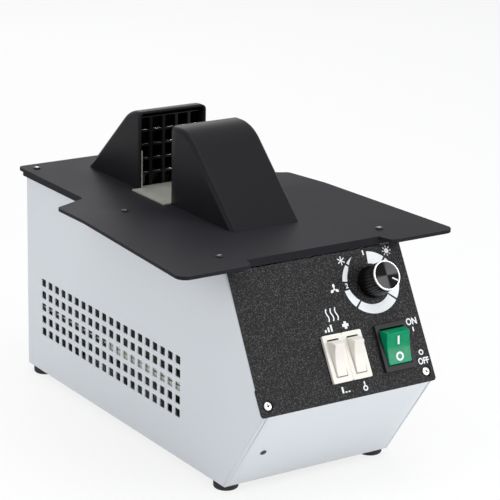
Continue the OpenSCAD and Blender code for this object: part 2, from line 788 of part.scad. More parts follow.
module hood(depth) difference() {
    union() {
        difference() {
            slab(-hood_w / 2, hood_w / 2) polygon(hood_outline(depth, 0));
            slab(-hood_w / 2 + hood_wall, hood_w / 2 - hood_wall) polygon(hood_outline(depth, hood_wall));
        }
        for (s = [-1, 1], y = hood_boss_ys(depth))
            translate([s * boss_x, y, 0]) cylinder(r = boss_r, h = boss_h);
    }
    for (s = [-1, 1], y = hood_boss_ys(depth))
        translate([s * boss_x, y, -1]) cylinder(r = hole_r, h = boss_h);
}

// Places of the screw bosses along a hood
function hood_boss_ys(depth) =
    [grille_recess + grille_t + boss_r + 1.2, depth - boss_h / tan(hood_slope) - boss_r - 4];

module front_place() translate([0, front_face_y, tray_z + lap]) mirror([0, 1, 0]) children();

module rear_place() translate([0, rear_face_y, tray_z + lap]) children();

module hood_screw_places() {
    for (s = [-1, 1], y = hood_boss_ys(front_hood_l))
        translate([s * boss_x, front_face_y - y, tray_z]) children();
    for (s = [-1, 1], y = hood_boss_ys(rear_hood_l))
        translate([s * boss_x, rear_face_y + y, tray_z]) children();
}

module front_hood() color([0.19, 0.19, 0.2]) at_nose() front_place() hood(front_hood_l);

module rear_hood() color([0.19, 0.19, 0.2]) at_nose() rear_place() hood(rear_hood_l);

module hood_screws() color("dimgray") at_nose() hood_screw_places()
    translate([0, 0, -tray_t - lap]) mirror([0, 0, 1]) screw(2.4, 1.4, 9);

module grille() {
    open_w = pitch_x - bar_w;
    open_h = pitch_z - bar_h;
    difference() {
        translate([-grille_w / 2, grille_recess, lap]) cube([grille_w, grille_t, grille_h - lap]);
        for (c = [0:grille_columns - 1], r = [0:grille_rows - 1])
            translate([-grille_w / 2 + grille_rim + c * pitch_x, grille_recess - 1, grille_rim + r * pitch_z])
                cube([open_w, grille_t + 2, open_h]);
    }
}

module front_grille() color([0.12, 0.12, 0.12]) at_nose() front_place() grille();

module rear_grille() color([0.12, 0.12, 0.12]) at_nose() rear_place() grille();

// The plated floor between the hoods: a tongue of it runs into each hood's mouth and ends in
// an upright lug against each side wall
module gap_floor() {
    length = hood_gap - 2 * lap;
    color([0.58, 0.59, 0.55]) at_nose() translate([0, gap_y, tray_z + lap]) {
        block(floor_w, length, floor_t);
        block(grille_w, length + 2 * lug_l, floor_t);
        for (sx = [-1, 1], sy = [-1, 1])
            translate([sx * (grille_w - lug_t) / 2, sy * (length + lug_l) / 2, 0]) block(lug_t, lug_l, lug_h);
    }
}

module tray_screws() color("silver") at_nose() for (y = tray_screw_ys) mirrored_x()
    translate([tray_screw_x, y, tray_z]) screw(3.6, 1.8, 7);

// ---- Blower ----

// The snail outline of the blower, shrunk by inset, with its outlet upwards
function scroll_outline(inset) = concat(
    [for (i = [0:17]) let (t = i / 17, a = tongue - scroll_sweep * t, r = scroll_r0 + scroll_growth * t - inset)
        [gap_y + r * cos(a), fan_z + r * sin(a)]],
    [[outlet_y0 + inset, outlet_z + (inset > 0 ? 1 : 0)],
     [outlet_y1 - inset, outlet_z + (inset > 0 ? 1 : 0)]]);

module blower_housing() {
    ear_z = deck_z + sheet_t + lap;
    wall = scroll_wall;
    color("silver") at_nose() difference() {
        union() {
            slab(-scroll_half + wall, scroll_half) polygon(scroll_outline(-wall));
            translate([-scroll_w / 2, outlet_y0 - ear_l, ear_z]) cube([scroll_w, ear_l + 0.6, wall]);
            translate([-scroll_w / 2, gap_y + scroll_r0 * 0.7, ear_z])
                cube([scroll_w, rear_ear_y + ear_l + 2 - gap_y - scroll_r0 * 0.7, wall]);
        }
        slab(-scroll_half, scroll_half - wall) polygon(scroll_outline(0));
        translate([scroll_half - 3, gap_y, fan_z]) bar(bearing_r + 4, 6);
        for (p = ear_holes) translate([p.x, p.y, ear_z - 1]) cylinder(r = hole_r, h = 4);
        motor_screw_places() bar(hole_r, 8);
    }
}

module blower_cover() color("lightgray") at_nose() difference() {
    slab(-scroll_half - lap, -scroll_half - lap + scroll_wall)
        polygon(scroll_outline(-scroll_wall));
    translate([-scroll_half - 2, gap_y, fan_z]) bar(inlet_ring_r, 6);
}

module fan_wheel() {
    x0 = -wheel_w / 2;
    blade_x = wheel_w - 1;
    color("whitesmoke") at_nose() translate([x0, gap_y, fan_z]) difference() {
        union() {
            translate([wheel_w - 1.2, 0, 0]) bar(wheel_r, 1.2);
            difference() {
                bar(wheel_r, 1.4);
                translate([-1, 0, 0]) bar(wheel_r - 5, 4);
            }
            translate([wheel_w - 12, 0, 0]) bar(6, 12);
            for (i = [0:blades - 1]) rotate([i * 360 / blades, 0, 0])
                translate([0.7, wheel_r - 4.8, 0]) rotate([28, 0, 0]) translate([0, 0, -0.4])
                    cube([blade_x - 0.4, 4.6, 0.8]);
        }
        translate([-1, 0, 0]) bar(motor_shaft_r + fit, wheel_w + 2);
    }
}

// Four screws that hold the motor to the blower's wall
module motor_screw_places() for (a = [45:90:315])
    translate([scroll_half - scroll_wall - 2, gap_y + (motor_r - 4) * cos(a), fan_z + (motor_r - 4) * sin(a)])
        children();

module motor_screws() color("silver") at_nose() for (a = [45:90:315])
    translate([scroll_half - scroll_wall - lap, gap_y + (motor_r - 4) * cos(a), fan_z + (motor_r - 4) * sin(a)])
        rotate([0, -90, 0]) screw(2, 1.2, 4.5, 1.1);

module motor_case() color("lightsteelblue") at_nose() translate([motor_x0, gap_y, fan_z]) difference() {
    bar(motor_r, motor_l);
    translate([6, 0, 0]) bar(motor_r - 1.2, motor_l);
    translate([-1, 0, 0]) bar(bearing_r + fit, bearing_w + 1);
    bar(bearing_r - 2, 8);
    for (a = [45:90:315]) translate([-1, (motor_r - 4) * cos(a), (motor_r - 4) * sin(a)]) bar(1.1 + lap, 6);
}

module motor_end() color("steelblue") at_nose() translate([motor_x0 + motor_l + lap, gap_y, fan_z]) difference() {
    union() {
        bar(motor_r, 2);
        translate([-bearing_w - 1, 0, 0]) bar(bearing_r + 3, bearing_w + 2);
    }
    translate([-bearing_w - 2, 0, 0]) bar(bearing_r + fit, bearing_w + 2);
    translate([-bearing_w - 2, 0, 0]) bar(bearing_r - 2, bearing_w + 8);
}

module motor_bearings() color("burlywood") at_nose() {
    for (x = [motor_x0, motor_x0 + motor_l + lap - bearing_w])
        translate([x, gap_y, fan_z]) difference() {
            bar(bearing_r, bearing_w - lap);
            translate([-1, 0, 0]) bar(motor_shaft_r + fit, bearing_w + 2);
        }
}

module motor_stator() color("peru") at_nose() translate([motor_x0 + 9, gap_y, fan_z]) difference() {
    bar(motor_r - 1.2 - lap, rotor_l);
    translate([-1, 0, 0]) bar(stator_bore_r, rotor_l + 2);
    for (a = [0:60:300]) rotate([a, 0, 0]) translate([-1, stator_bore_r + 1.5, -2])
        cube([rotor_l + 2, 5, 4]);
}

module motor_rotor() color("gray") at_nose() {
    shaft_x0 = wheel_w / 2 - 15;
    shaft_x1 = motor_x0 + motor_l + lap + 1;
    translate([shaft_x0, gap_y, fan_z]) bar(motor_shaft_r, shaft_x1 - shaft_x0);
    translate([motor_x0 + 9, gap_y, fan_z]) bar(rotor_r, rotor_l);
}

// The plated deck that carries the blower, standing on its folded front and rear legs
module deck() {
    leg_x = [-base_hole_x - 9, base_hole_x + 9 - deck_leg_w];
    foot_z = sheet_t + lap;
    window_x0 = -scroll_half - window_gap - scroll_wall;
    window_x1 = motor_x0 + motor_l + 2 + window_gap;
    color([0.82, 0.82, 0.8]) at_nose() difference() {
        union() {
            translate([-deck_half, deck_y0, deck_z]) cube([2 * deck_half, deck_y1 - deck_y0, sheet_t]);
            for (x = leg_x, end = [0, 1]) {
                y = end == 0 ? deck_y0 : deck_y1 - sheet_t;
                foot_y = end == 0 ? deck_y0 : deck_y1 - deck_leg_foot;
                translate([x, y, foot_z]) cube([deck_leg_w, sheet_t, deck_z - foot_z + sheet_t / 2]);
                translate([x, foot_y, foot_z]) cube([deck_leg_w, deck_leg_foot, sheet_t]);
            }
        }
        translate([window_x0, outlet_y0 - 2.4, deck_z - 1])
            cube([window_x1 - window_x0, rear_ear_y - outlet_y0 + 4.4, sheet_t + 2]);
        for (p = ear_holes) translate([p.x, p.y, deck_z - 1]) cylinder(r = hole_r, h = 4);
        for (y = [base_hole_ys[1], base_hole_ys[2]], x = [-base_hole_x, base_hole_x])
            translate([x, y, 0]) cylinder(r = hole_r, h = 5);
    }
}

module deck_screws() color("silver") at_nose() for (p = ear_holes)
    translate([p.x, p.y, deck_z + sheet_t + 2 * lap + scroll_wall]) screw(2.6, 1.4, 6);

// ---- Heater and plenum ----

module heater_box() color("lightgray") at_nose() difference() {
    translate([-heater_half, heater_y0, heater_z]) cube([2 * heater_half, heater_y1 - heater_y0, heater_h]);
    translate([-heater_half + duct_wall, heater_y0 + duct_wall, heater_z - 1])
        cube([2 * (heater_half - duct_wall), heater_y1 - heater_y0 - 2 * duct_wall, heater_h + 2]);
    for (s = [-1, 1]) cutout_place() translate([-8, s * cutout_tab_y, 0]) bar(1 + lap, 20);
}

module heater_frames() color("wheat") at_nose() difference() {
    y0 = heater_y0 + duct_wall + lap;
    y1 = heater_y1 - duct_wall - lap;
    union() {
        for (x = frame_xs) translate([x - frame_t / 2, y0, heater_z + 0.5]) cube([frame_t, y1 - y0, heater_h - 1]);
        for (y = [y0, y1 - frame_t])
            translate([frame_xs[0], y, heater_z + 1]) cube([frame_xs[2] - frame_xs[0], frame_t, 3]);
    }
    for (y = coil_ys, z = coil_rows) translate([frame_xs[0] - 3, y, heater_z + z]) bar(coil_r + lap, 40);
}

// Straight heating rods through the mica boards
module heater_coils() color("darkkhaki") at_nose() for (y = coil_ys, z = coil_rows)
    translate([frame_xs[0] - coil_end, y, heater_z + z]) bar(coil_r, frame_xs[2] - frame_xs[0] + 2 * coil_end);

// The frame of the thermal cut-out: on the right wall of the heater box
module cutout_place()
    translate([heater_half, (outlet_y0 + outlet_y1) / 2, heater_z + heater_h / 2]) children();

module thermal_cutout() color("tan") at_nose() cutout_place() {
    translate([lap, 0, 0]) {
        bar(cutout_r, cutout_h);
        for (s = [-1, 1]) translate([0, s * cutout_tab_y - cutout_tab_w / 2, -cutout_tab_w / 2])
            cube([duct_wall, cutout_tab_w, cutout_tab_w]);
        translate([0, -cutout_tab_y, -2]) cube([duct_wall, 2 * cutout_tab_y, 4]);
    }
    for (s = [-1, 1]) translate([cutout_h, s * cutout_r / 2 - blade_t / 2, -2]) cube([blade_l - 1, blade_t, 4]);
}

// The sheet-metal plenum under the tray: fed from the heater, open under both hoods
module plenum() {
    h = plenum_top - plenum_z;
    l = plenum_y1 - plenum_y0;
    lip_half = plenum_screw_x + 6;
    color("silver") at_nose() difference() {
        union() {
            translate([-plenum_w / 2 - duct_wall, plenum_y0 - duct_wall, plenum_z])
                cube([plenum_w + 2 * duct_wall, l + 2 * duct_wall, h]);
            translate([-lip_half, plenum_y0 - plenum_lip, plenum_top - duct_wall])
                cube([2 * lip_half, l + 2 * plenum_lip, duct_wall]);
        }
        translate([-plenum_w / 2, plenum_y0, plenum_z + duct_wall]) cube([plenum_w, l, h]);
        translate([-heater_half + 2, outlet_y0 + 1, plenum_z - 1])
            cube([2 * heater_half - 4, outlet_y1 - outlet_y0 - 2, 3]);
        plenum_screw_places() translate([0, 0, -3]) cylinder(r = hole_r, h = 4);
    }
}

module plenum_screw_places() for (s = [-1, 1], y = [plenum_y0 - 5, plenum_y1 + 5])
    translate([s * plenum_screw_x, y, body_h]) children();

module plenum_screws() color("dimgray") at_nose() plenum_screw_places()
    translate([0, 0, -duct_wall - 2 * lap]) mirror([0, 0, 1]) screw(2.2, 1.2, 2.2, 1.2);

// ---- Electrics ----

module circuit_board() color("darkgreen") at_nose() difference() {
    translate([-board_w / 2, board_y, board_z]) cube([board_w, board_l, board_t]);
    for (p = post_places) translate([p.x, p.y, board_z - 1]) cylinder(r = 1.6, h = 4);
}

module board_posts() color("ivory") at_nose() for (p = post_places) translate([p.x, p.y, sheet_t + lap]) {
    cylinder(r = post_r, h = board_z - sheet_t - 2 * lap);
    cylinder(r = 1.5, h = board_z + board_t + 1.6 - sheet_t);
    translate([0, 0, board_z + board_t + lap - sheet_t]) cylinder(r1 = 2.2, r2 = 1.5, h = 1.5);
}

// Heat sink, relay, capacitors and connectors on the board
module board_parts() color("dimgray") at_nose() translate([0, board_y, board_top]) {
    for (i = [0:fins - 1]) translate([sink_x, sink_y + i * fin_pitch, 0]) cube([sink_w, fin_t, sink_h]);
    translate([sink_x, sink_y, 0]) cube([2 * fin_t, (fins - 1) * fin_pitch + fin_t, sink_h]);
    translate([relay_x, relay_y, 0]) cube([relay_w, relay_l, relay_w]);
    for (i = [0, 1]) translate([can_xs[i], can_y, 0]) cylinder(r = can_rs[i], h = can_hs[i]);
    translate([sink_x + 2, can_y, 0]) cube([plug_w, plug_l, plug_h]);
}

module terminal_block() color("ivory") at_nose() translate([block_x, block_y, sheet_t + lap]) difference() {
    cube([block_w, block_l, block_h]);
    for (i = [0:3]) translate([block_w / 2, block_l * (i + 0.5) / 4, block_h - 6]) cylinder(r = 2.6, h = 8);
    for (i = [0:3]) translate([-1, block_l * (i + 0.5) / 4 - 2, 3]) cube([block_w + 2, 4, 4]);
}

module mains_inlet() color([0.13, 0.13, 0.13]) at_nose() translate([0, body_l, inlet_z]) difference() {
    union() {
        translate([0, lap + inlet_flange_t, 0]) rotate([90, 0, 0])
            linear_extrude(inlet_flange_t) polygon(round_rect(inlet_w, inlet_h, 4));
        translate([0, lap + 0.5, 0]) rotate([90, 0, 0])
            linear_extrude(socket_l + 3) polygon(round_rect(socket_w + 4, socket_h + 4, 2.6));
    }
    translate([0, inlet_flange_t + 1, 0]) rotate([90, 0, 0]) linear_extrude(socket_l + 1)
        polygon([[-socket_w / 2, -socket_h / 2], [socket_w / 2, -socket_h / 2],
                 [socket_w / 2, socket_h / 2 - 4.5], [socket_w / 2 - 4.5, socket_h / 2],
                 [-socket_w / 2 + 4.5, socket_h / 2], [-socket_w / 2, socket_h / 2 - 4.5]]);
    for (s = [-1, 1]) translate([s * inlet_screw_x, inlet_flange_t + 2 * lap, 0]) rotate([90, 0, 0]) {
        cylinder(r = hole_r, h = 6);
        cylinder(r1 = sunk_r + 2 * lap, r2 = hole_r, h = sunk_h + lap);
    }
    for (p = inlet_pin_places) translate([p.x - pin_w / 2 - fit, -socket_l - 6, p.y - pin_h / 2 - fit])
        cube([pin_w + 2 * fit, 8, pin_h + 2 * fit]);
}

module inlet_pins() color("silver") at_nose() for (p = inlet_pin_places)
    translate([p.x - pin_w / 2, body_l - socket_l - pin_tail, inlet_z + p.y - pin_h / 2])
        cube([pin_w, socket_l + pin_tail - 6, pin_h]);

module inlet_screws() color("silver") at_nose() for (s = [-1, 1])
    translate([s * inlet_screw_x, body_l + inlet_flange_t + lap, inlet_z]) rotate([-90, 0, 0])
        translate([0, 0, -sunk_h]) {
            cylinder(r1 = shank_r, r2 = sunk_r, h = sunk_h);
            translate([0, 0, -5]) cylinder(r = shank_r, h = 5.2);
        }

module fuse_holder() color([0.13, 0.13, 0.13]) at_nose() translate([fuse_x, body_l, inlet_z]) rotate([90, 0, 0])
    difference() {
        union() {
            translate([0, 0, -fuse_face_t]) cylinder(r = fuse_r + 1.5, h = fuse_face_t - lap);
            translate([0, 0, -fuse_face_t / 2]) cylinder(r = fuse_body_r, h = fuse_holder_l + fuse_face_t / 2);
        }
        translate([0, 0, -fuse_face_t - 1]) cylinder(r = fuse_bore_r, h = fuse_holder_l - 1);
    }

module fuse_cap() color([0.1, 0.1, 0.1]) at_nose() translate([fuse_x, body_l, inlet_z]) rotate([90, 0, 0])
    difference() {
        union() {
            translate([0, 0, -fuse_face_t - lap - fuse_cap_t]) cylinder(r = fuse_cap_r, h = fuse_cap_t);
            translate([0, 0, -fuse_face_t - lap]) cylinder(r = fuse_bore_r - lap, h = fuse_plug_l);
        }
        translate([0, 0, fuse_face_t]) cylinder(r = glass_r + 2 * lap, h = fuse_plug_l);
        translate([-3.4, -0.6, -fuse_face_t - 1.2]) cube([6.8, 1.2, 1.1]);
    }

module fuse() color("aliceblue") at_nose() translate([fuse_x, body_l, inlet_z]) rotate([90, 0, 0])
    translate([0, 0, fuse_face_t + lap]) cylinder(r = glass_r, h = glass_l);

// A wire that runs straight from point to point, with round bends
module wire(pts, r) {
    for (i = [0:len(pts) - 2]) {
        d = pts[i + 1] - pts[i];
        translate(pts[i]) rotate([0, acos(d.z / norm(d)), atan2(d.y, d.x)]) cylinder(r = r, h = norm(d));
    }
    for (i = [1:len(pts) - 2]) translate(pts[i]) sphere(r = r + 0.04);
}

// The loom from the terminals to the switches, and the wires of the inlet, motor and heater
module wiring() color("firebrick") at_nose() {
    left_x = -half_w + 10;
    right_x = half_w - 8;
    slot_z = sheet_t + lap + 5;
    pin_y = body_l - socket_l - pin_tail - lap;
    relay_mid = board_y + relay_y + relay_l / 2;
    relay_side_z = board_top + relay_w / 2;
    switch_low = [0, switch_v * sin(panel_lean) + (switch_depth + blade_l) * cos(panel_lean),
                  nose_h + switch_v * cos(panel_lean) - (switch_depth + blade_l) * sin(panel_lean)];
    wire([[block_x + block_w - 5, block_y + block_l * 0.875, slot_z], [-7, block_y + block_l * 0.875, slot_z],
          [-7, pin_y - 5, inlet_z - 2], [-7, pin_y, inlet_z - 2]], 1.2);
    wire([[7, pin_y, inlet_z - 2], [7, pin_y - 6, inlet_z - 2], [fuse_x, pin_y - 6, inlet_z - 2],
          [fuse_x, body_l - fuse_holder_l - 3 * lap, inlet_z - 2]], 1.2);
    wire([[block_x + 5, block_y + block_l * 0.375, slot_z], [left_x, block_y + block_l * 0.375, slot_z],
          [left_x, 84, slot_z + 12], [left_x, 64, 60], [pair_us[0], switch_low.y + 6, switch_low.z + 3],
          [pair_us[0], switch_low.y + lap + 1.6, switch_low.z + 0.6]], 1.5);
    wire([[motor_x0 + motor_l + 2 + 2 * lap, gap_y, fan_z - 14], [right_x, gap_y, fan_z - 14],
          [right_x, relay_mid, relay_side_z], [relay_x + relay_w + 3 * lap, relay_mid, relay_side_z]], 1.2);
}

base_plate();
chin_panel();
rear_panel();
left_side();
right_side();
control_panel();
tray();
front_hood();
rear_hood();
front_grille();
rear_grille();
gap_floor();
feet();
foot_screws();
tray_screws();
panel_screws();
rear_screws();
hood_screws();
base_screws();
chin_stud();
knob();
knob_cap();
control_shaft();
dial_control();
control_nut();
heat_switch();
heat_rocker();
boost_switch();
boost_rocker();
power_switch();
power_rocker();
switch_blades();
deck();
deck_screws();
blower_housing();
blower_cover();
fan_wheel();
motor_case();
motor_end();
motor_stator();
motor_rotor();
motor_bearings();
motor_screws();
heater_box();
heater_frames();
heater_coils();
thermal_cutout();
plenum();
plenum_screws();
circuit_board();
board_posts();
board_parts();
terminal_block();
mains_inlet();
inlet_pins();
inlet_screws();
fuse_holder();
fuse_cap();
fuse();
wiring();
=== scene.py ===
import json
from math import asin, atan2, cos, pi, radians, sin, sqrt, tan

import bmesh
import bpy
from mathutils import Matrix, Vector

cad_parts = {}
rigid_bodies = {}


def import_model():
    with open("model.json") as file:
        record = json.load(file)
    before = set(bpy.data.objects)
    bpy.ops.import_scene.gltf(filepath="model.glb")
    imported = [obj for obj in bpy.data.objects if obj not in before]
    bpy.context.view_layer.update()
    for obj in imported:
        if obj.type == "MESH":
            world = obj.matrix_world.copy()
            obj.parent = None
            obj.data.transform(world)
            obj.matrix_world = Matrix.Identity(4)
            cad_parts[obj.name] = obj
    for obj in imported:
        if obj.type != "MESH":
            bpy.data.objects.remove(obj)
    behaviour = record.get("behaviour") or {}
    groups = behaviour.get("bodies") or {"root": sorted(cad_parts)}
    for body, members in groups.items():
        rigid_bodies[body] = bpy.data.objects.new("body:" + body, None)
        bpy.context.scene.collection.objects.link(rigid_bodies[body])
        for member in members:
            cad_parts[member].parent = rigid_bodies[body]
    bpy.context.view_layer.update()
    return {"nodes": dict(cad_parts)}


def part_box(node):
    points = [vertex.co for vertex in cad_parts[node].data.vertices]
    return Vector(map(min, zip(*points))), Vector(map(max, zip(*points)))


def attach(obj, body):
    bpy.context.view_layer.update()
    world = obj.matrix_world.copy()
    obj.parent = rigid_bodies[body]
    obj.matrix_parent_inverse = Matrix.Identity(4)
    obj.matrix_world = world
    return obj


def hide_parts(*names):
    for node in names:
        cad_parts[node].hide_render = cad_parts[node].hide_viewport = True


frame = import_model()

# ---- Studio ---------------------------------------------------------------------------
# A pale seamless table top under broad soft boxes, with the camera at the left front, a
# little above the tray. The table and the world show white to the camera.

target = Vector((0.0, -0.0534, 0.0769))
azimuth, elevation, roll = radians(-33.66), radians(17.18), radians(1.2)
distance = 1.4613
slide_right, slide_up = -0.0065, 0.0616
image_px, focal_px, sensor_mm = 500, 2124.7, 36.0

back = Vector((sin(azimuth) * cos(elevation), -cos(azimuth) * cos(elevation), sin(elevation)))
level_right = (-back).cross(Vector((0, 0, 1))).normalized()
level_up = level_right.cross(-back)
camera_right = level_right * cos(roll) + level_up * sin(roll)
camera_up = level_up * cos(roll) - level_right * sin(roll)
eye = target + back * distance + camera_right * slide_right + camera_up * slide_up

scene_objects = bpy.context.scene.collection.objects
camera_data = bpy.data.cameras.new("camera")
camera_data.sensor_width = sensor_mm
camera_data.lens = focal_px / image_px * sensor_mm
camera = bpy.data.objects.new("camera", camera_data)
camera.matrix_world = Matrix.Translation(eye) @ Matrix((camera_right, camera_up, back)).transposed().to_4x4()
scene_objects.link(camera)
bpy.context.scene.camera = camera
bpy.context.scene.view_settings.view_transform = "Standard"


def colour(hex_value):
    """An sRGB hex colour as linear red, green, blue and alpha."""
    channels = [int(hex_value[i:i + 2], 16) / 255 for i in (1, 3, 5)]
    return tuple(c / 12.92 if c <= 0.04045 else ((c + 0.055) / 1.055) ** 2.4 for c in channels) + (1.0,)


def add_node(tree, kind, settings, links=()):
    """Adds a shader node, sets its fields and sockets, and links (socket, source node, output)."""
    node = tree.nodes.new("ShaderNode" + kind)
    for key, value in settings.items():
        if isinstance(key, int) or key in node.inputs:
            node.inputs[key].default_value = value
        else:
            setattr(node, key, value)
    for socket, source, output in links:
        tree.links.new(source.outputs[output], node.inputs[socket])
    return node


def white_sight(tree, share=1.0):
    """One where the camera, a mirror or a clear piece looks at the surroundings, else zero."""
    sight = add_node(tree, "LightPath", {})
    direct = add_node(tree, "Math", {"operation": "MAXIMUM"},
                      [(0, sight, "Is Camera Ray"), (1, sight, "Is Glossy Ray")])
    either = add_node(tree, "Math", {"operation": "MAXIMUM"},
                      [(0, direct, 0), (1, sight, "Is Transmission Ray")])
    return add_node(tree, "Math", {"operation": "MULTIPLY", 1: share}, [(0, either, 0)])


world = bpy.data.worlds.new("studio")
bpy.context.scene.world = world
world.use_nodes = True
sky = world.node_tree
sky.nodes.clear()
room_glow = add_node(sky, "Background", {"Color": colour("#f4f6fa"), "Strength": 0.62})
white_wall = add_node(sky, "Background", {"Color": (1, 1, 1, 1), "Strength": 1.0})
sky_sight = white_sight(sky)
sky_mix = add_node(sky, "MixShader", {},
                   [(0, sky_sight, 0), (1, room_glow, 0), (2, white_wall, 0)])
add_node(sky, "OutputWorld", {}, [("Surface", sky_mix, 0)])

lamp_aim = Vector((0, 0, 0.1))
for name, spot, width, power in (
        ("overhead_box", (0.05, -0.15, 1.3), 0.9, 6.5),
        ("left_box", (-1.3, 0.15, 0.55), 0.8, 3.8),
        ("front_box", (0.75, -1.35, 0.45), 0.8, 10.5),
        ("rear_box", (0.5, 1.4, 0.9), 0.7, 4.0)):
    lamp_data = bpy.data.lights.new(name, "AREA")
    lamp_data.size = width
    lamp_data.energy = power
    lamp = bpy.data.objects.new(name, lamp_data)
    aim = lamp_aim - Vector(spot)
    lamp.matrix_world = Matrix.Translation(spot) @ aim.to_track_quat("-Z", "Y").to_matrix().to_4x4()
    scene_objects.link(lamp)

table_reach, table_white = 3.0, 0.8
table_mesh = bpy.data.meshes.new("table_top")
table_mesh.from_pydata(
    [(-table_reach, -table_reach, 0), (table_reach, -table_reach, 0),
     (table_reach, table_reach, 0), (-table_reach, table_reach, 0)], [], [(0, 1, 2, 3)])
table_top = bpy.data.objects.new("table_top", table_mesh)
scene_objects.link(table_top)
# Matt white laminate: it shows nearly white to the camera and still takes a soft shadow.
laminate = bpy.data.materials.new("white_laminate")
laminate.use_nodes = True
tree = laminate.node_tree
tree.nodes.clear()
matt_white = add_node(tree, "BsdfDiffuse", {"Color": colour("#f2f2f2")})
plain_white = add_node(tree, "Emission", {"Color": (1, 1, 1, 1), "Strength": 1.0})
table_sight = white_sight(tree, table_white)
table_mix = add_node(tree, "MixShader", {},
                     [(0, table_sight, 0), (1, matt_white, 0), (2, plain_white, 0)])
add_node(tree, "OutputMaterial", {}, [("Surface", table_mix, 0)])
table_mesh.materials.append(laminate)

# ---- Side panels ----------------------------------------------------------------------
# Each side is one sheet of 1.2 mm mild steel, punched with 20 x 5 square vents and folded
# inwards all round. The flange is set back, so that the chin, base, rear and control panel
# lie on it. The right one is the left one mirrored.

sheet_mm = 1.2
plate_mm = 1.5
lean = radians(29.5)
side_low, side_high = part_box("right_side")
plate_low, plate_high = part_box("control_panel")
half_w = side_high[0] * 1000
base_z = side_low[2]
nose_y = plate_low[1]
body_h = (side_high[2] - base_z) * 1000
body_l = (side_high[1] - nose_y) * 1000
nose_h = (plate_low[2] - base_z) * 1000 + plate_mm * sin(lean)

cabinet = Matrix.Translation((0, nose_y, base_z)) @ Matrix.Scale(0.001, 4)
nose_in = Vector((plate_mm * cos(lean), nose_h - plate_mm * sin(lean)))
chin_low = Vector((47.0, 0.0))


def at(x, y, z):
    """A place in the cabinet: x across, y back from the nose, z up from the base."""
    return cabinet @ Matrix.Translation((x, y, z))


def new_finish(name, hex_colour, roughness, **sockets):
    """A material with one Principled shader: returns the material, its tree and the shader."""
    material = bpy.data.materials.new(name)
    material.use_nodes = True
    tree = material.node_tree
    shader = tree.nodes["Principled BSDF"]
    shader.inputs["Base Color"].default_value = colour(hex_colour)
    shader.inputs["Roughness"].default_value = roughness
    for socket, value in sockets.items():
        shader.inputs[socket.replace("_", " ")].default_value = value
    return material, tree, shader


def surface_detail(tree, shader, size_mm, detail, relief=None, gloss=None, tones=None):
    """An uneven pattern of a real size. It gives the surface relief (strength, depth in mm),
    gloss (lowest and highest roughness) or tones (two hex colours)."""
    spot = add_node(tree, "TexCoord", {})
    grain = add_node(tree, "TexNoise", {"Scale": 1000 / size_mm, "Detail": detail},
                     [("Vector", spot, "Object")])
    if relief:
        bump = add_node(tree, "Bump", {"Strength": relief[0], "Distance": relief[1] / 1000},
                        [("Height", grain, 0)])
        tree.links.new(bump.outputs[0], shader.inputs["Normal"])
    if gloss:
        sheen = add_node(tree, "MapRange", {3: gloss[0], 4: gloss[1]}, [(0, grain, 0)])
        tree.links.new(sheen.outputs[0], shader.inputs["Roughness"])
    if tones:
        first, second = (colour(tone) for tone in tones)
        shade = add_node(tree, "Mix", {"data_type": "RGBA", 6: first, 7: second}, [(0, grain, 0)])
        tree.links.new(shade.outputs[2], shader.inputs["Base Color"])


def rounded(points, radii, steps=5, closed=True):
    """The outline with each corner turned into an arc of its own radius."""
    result = []
    count = len(points)
    for i, radius in enumerate(radii):
        p = Vector(points[i])
        if radius <= 0 or (not closed and i in (0, count - 1)):
            result.append(p)
            continue
        to_a = (Vector(points[i - 1]) - p).normalized()
        to_b = (Vector(points[(i + 1) % count]) - p).normalized()
        half = to_a.angle(to_b) / 2
        centre = p + (to_a + to_b).normalized() * radius / sin(half)
        start = p + to_a * radius / tan(half) - centre
        end = p + to_b * radius / tan(half) - centre
        a0 = atan2(start.y, start.x)
        turn = (atan2(end.y, end.x) - a0 + 3 * pi) % (2 * pi) - pi
        for k in range(steps + 1):
            angle = a0 + turn * k / steps
            result.append(centre + Vector((cos(angle), sin(angle))) * radius)
    return result


def rectangle(width, height, radius, centre=(0, 0), steps=3):
    """The outline of a rectangle with round corners."""
    w, h = width / 2, height / 2
    cx, cy = centre
    return rounded([(cx - w, cy - h), (cx + w, cy - h), (cx + w, cy + h), (cx - w, cy + h)],
                   [radius] * 4, steps)


def inset(points, depth):
    """A counter-clockwise outline moved inwards."""
    result = []
    for i, p in enumerate(points):
        u = (Vector(p) - Vector(points[i - 1])).normalized()
        w = (Vector(points[(i + 1) % len(points)]) - Vector(p)).normalized()
        n = Vector((-u.y, u.x)) + Vector((-w.y, w.x))
        result.append(Vector(p) + n * depth / (1 + u.dot(w)))
    return result


def add_loop(bm, points, height=0.0):
    """Adds a closed loop of vertices and edges at one height."""
    corners = [bm.verts.new((p[0], p[1], height)) for p in points]
    for i, corner in enumerate(corners):
        bm.edges.new((corners[i - 1], corner))
    return corners


def bridge(bm, lower, upper, closed=True):
    """Joins two rows of vertices with quads."""
    count = len(lower)
    for i in range(count if closed else count - 1):
        k = (i + 1) % count
        bm.faces.new((lower[i], lower[k], upper[k], upper[i]))


def fill(bm, loops):
    """Fills the flat region between closed loops of vertices."""
    edges = [bm.edges.get((loop[i - 1], loop[i])) for loop in loops for i in range(len(loop))]
    return bmesh.ops.triangle_fill(bm, use_beauty=True, edges=edges)


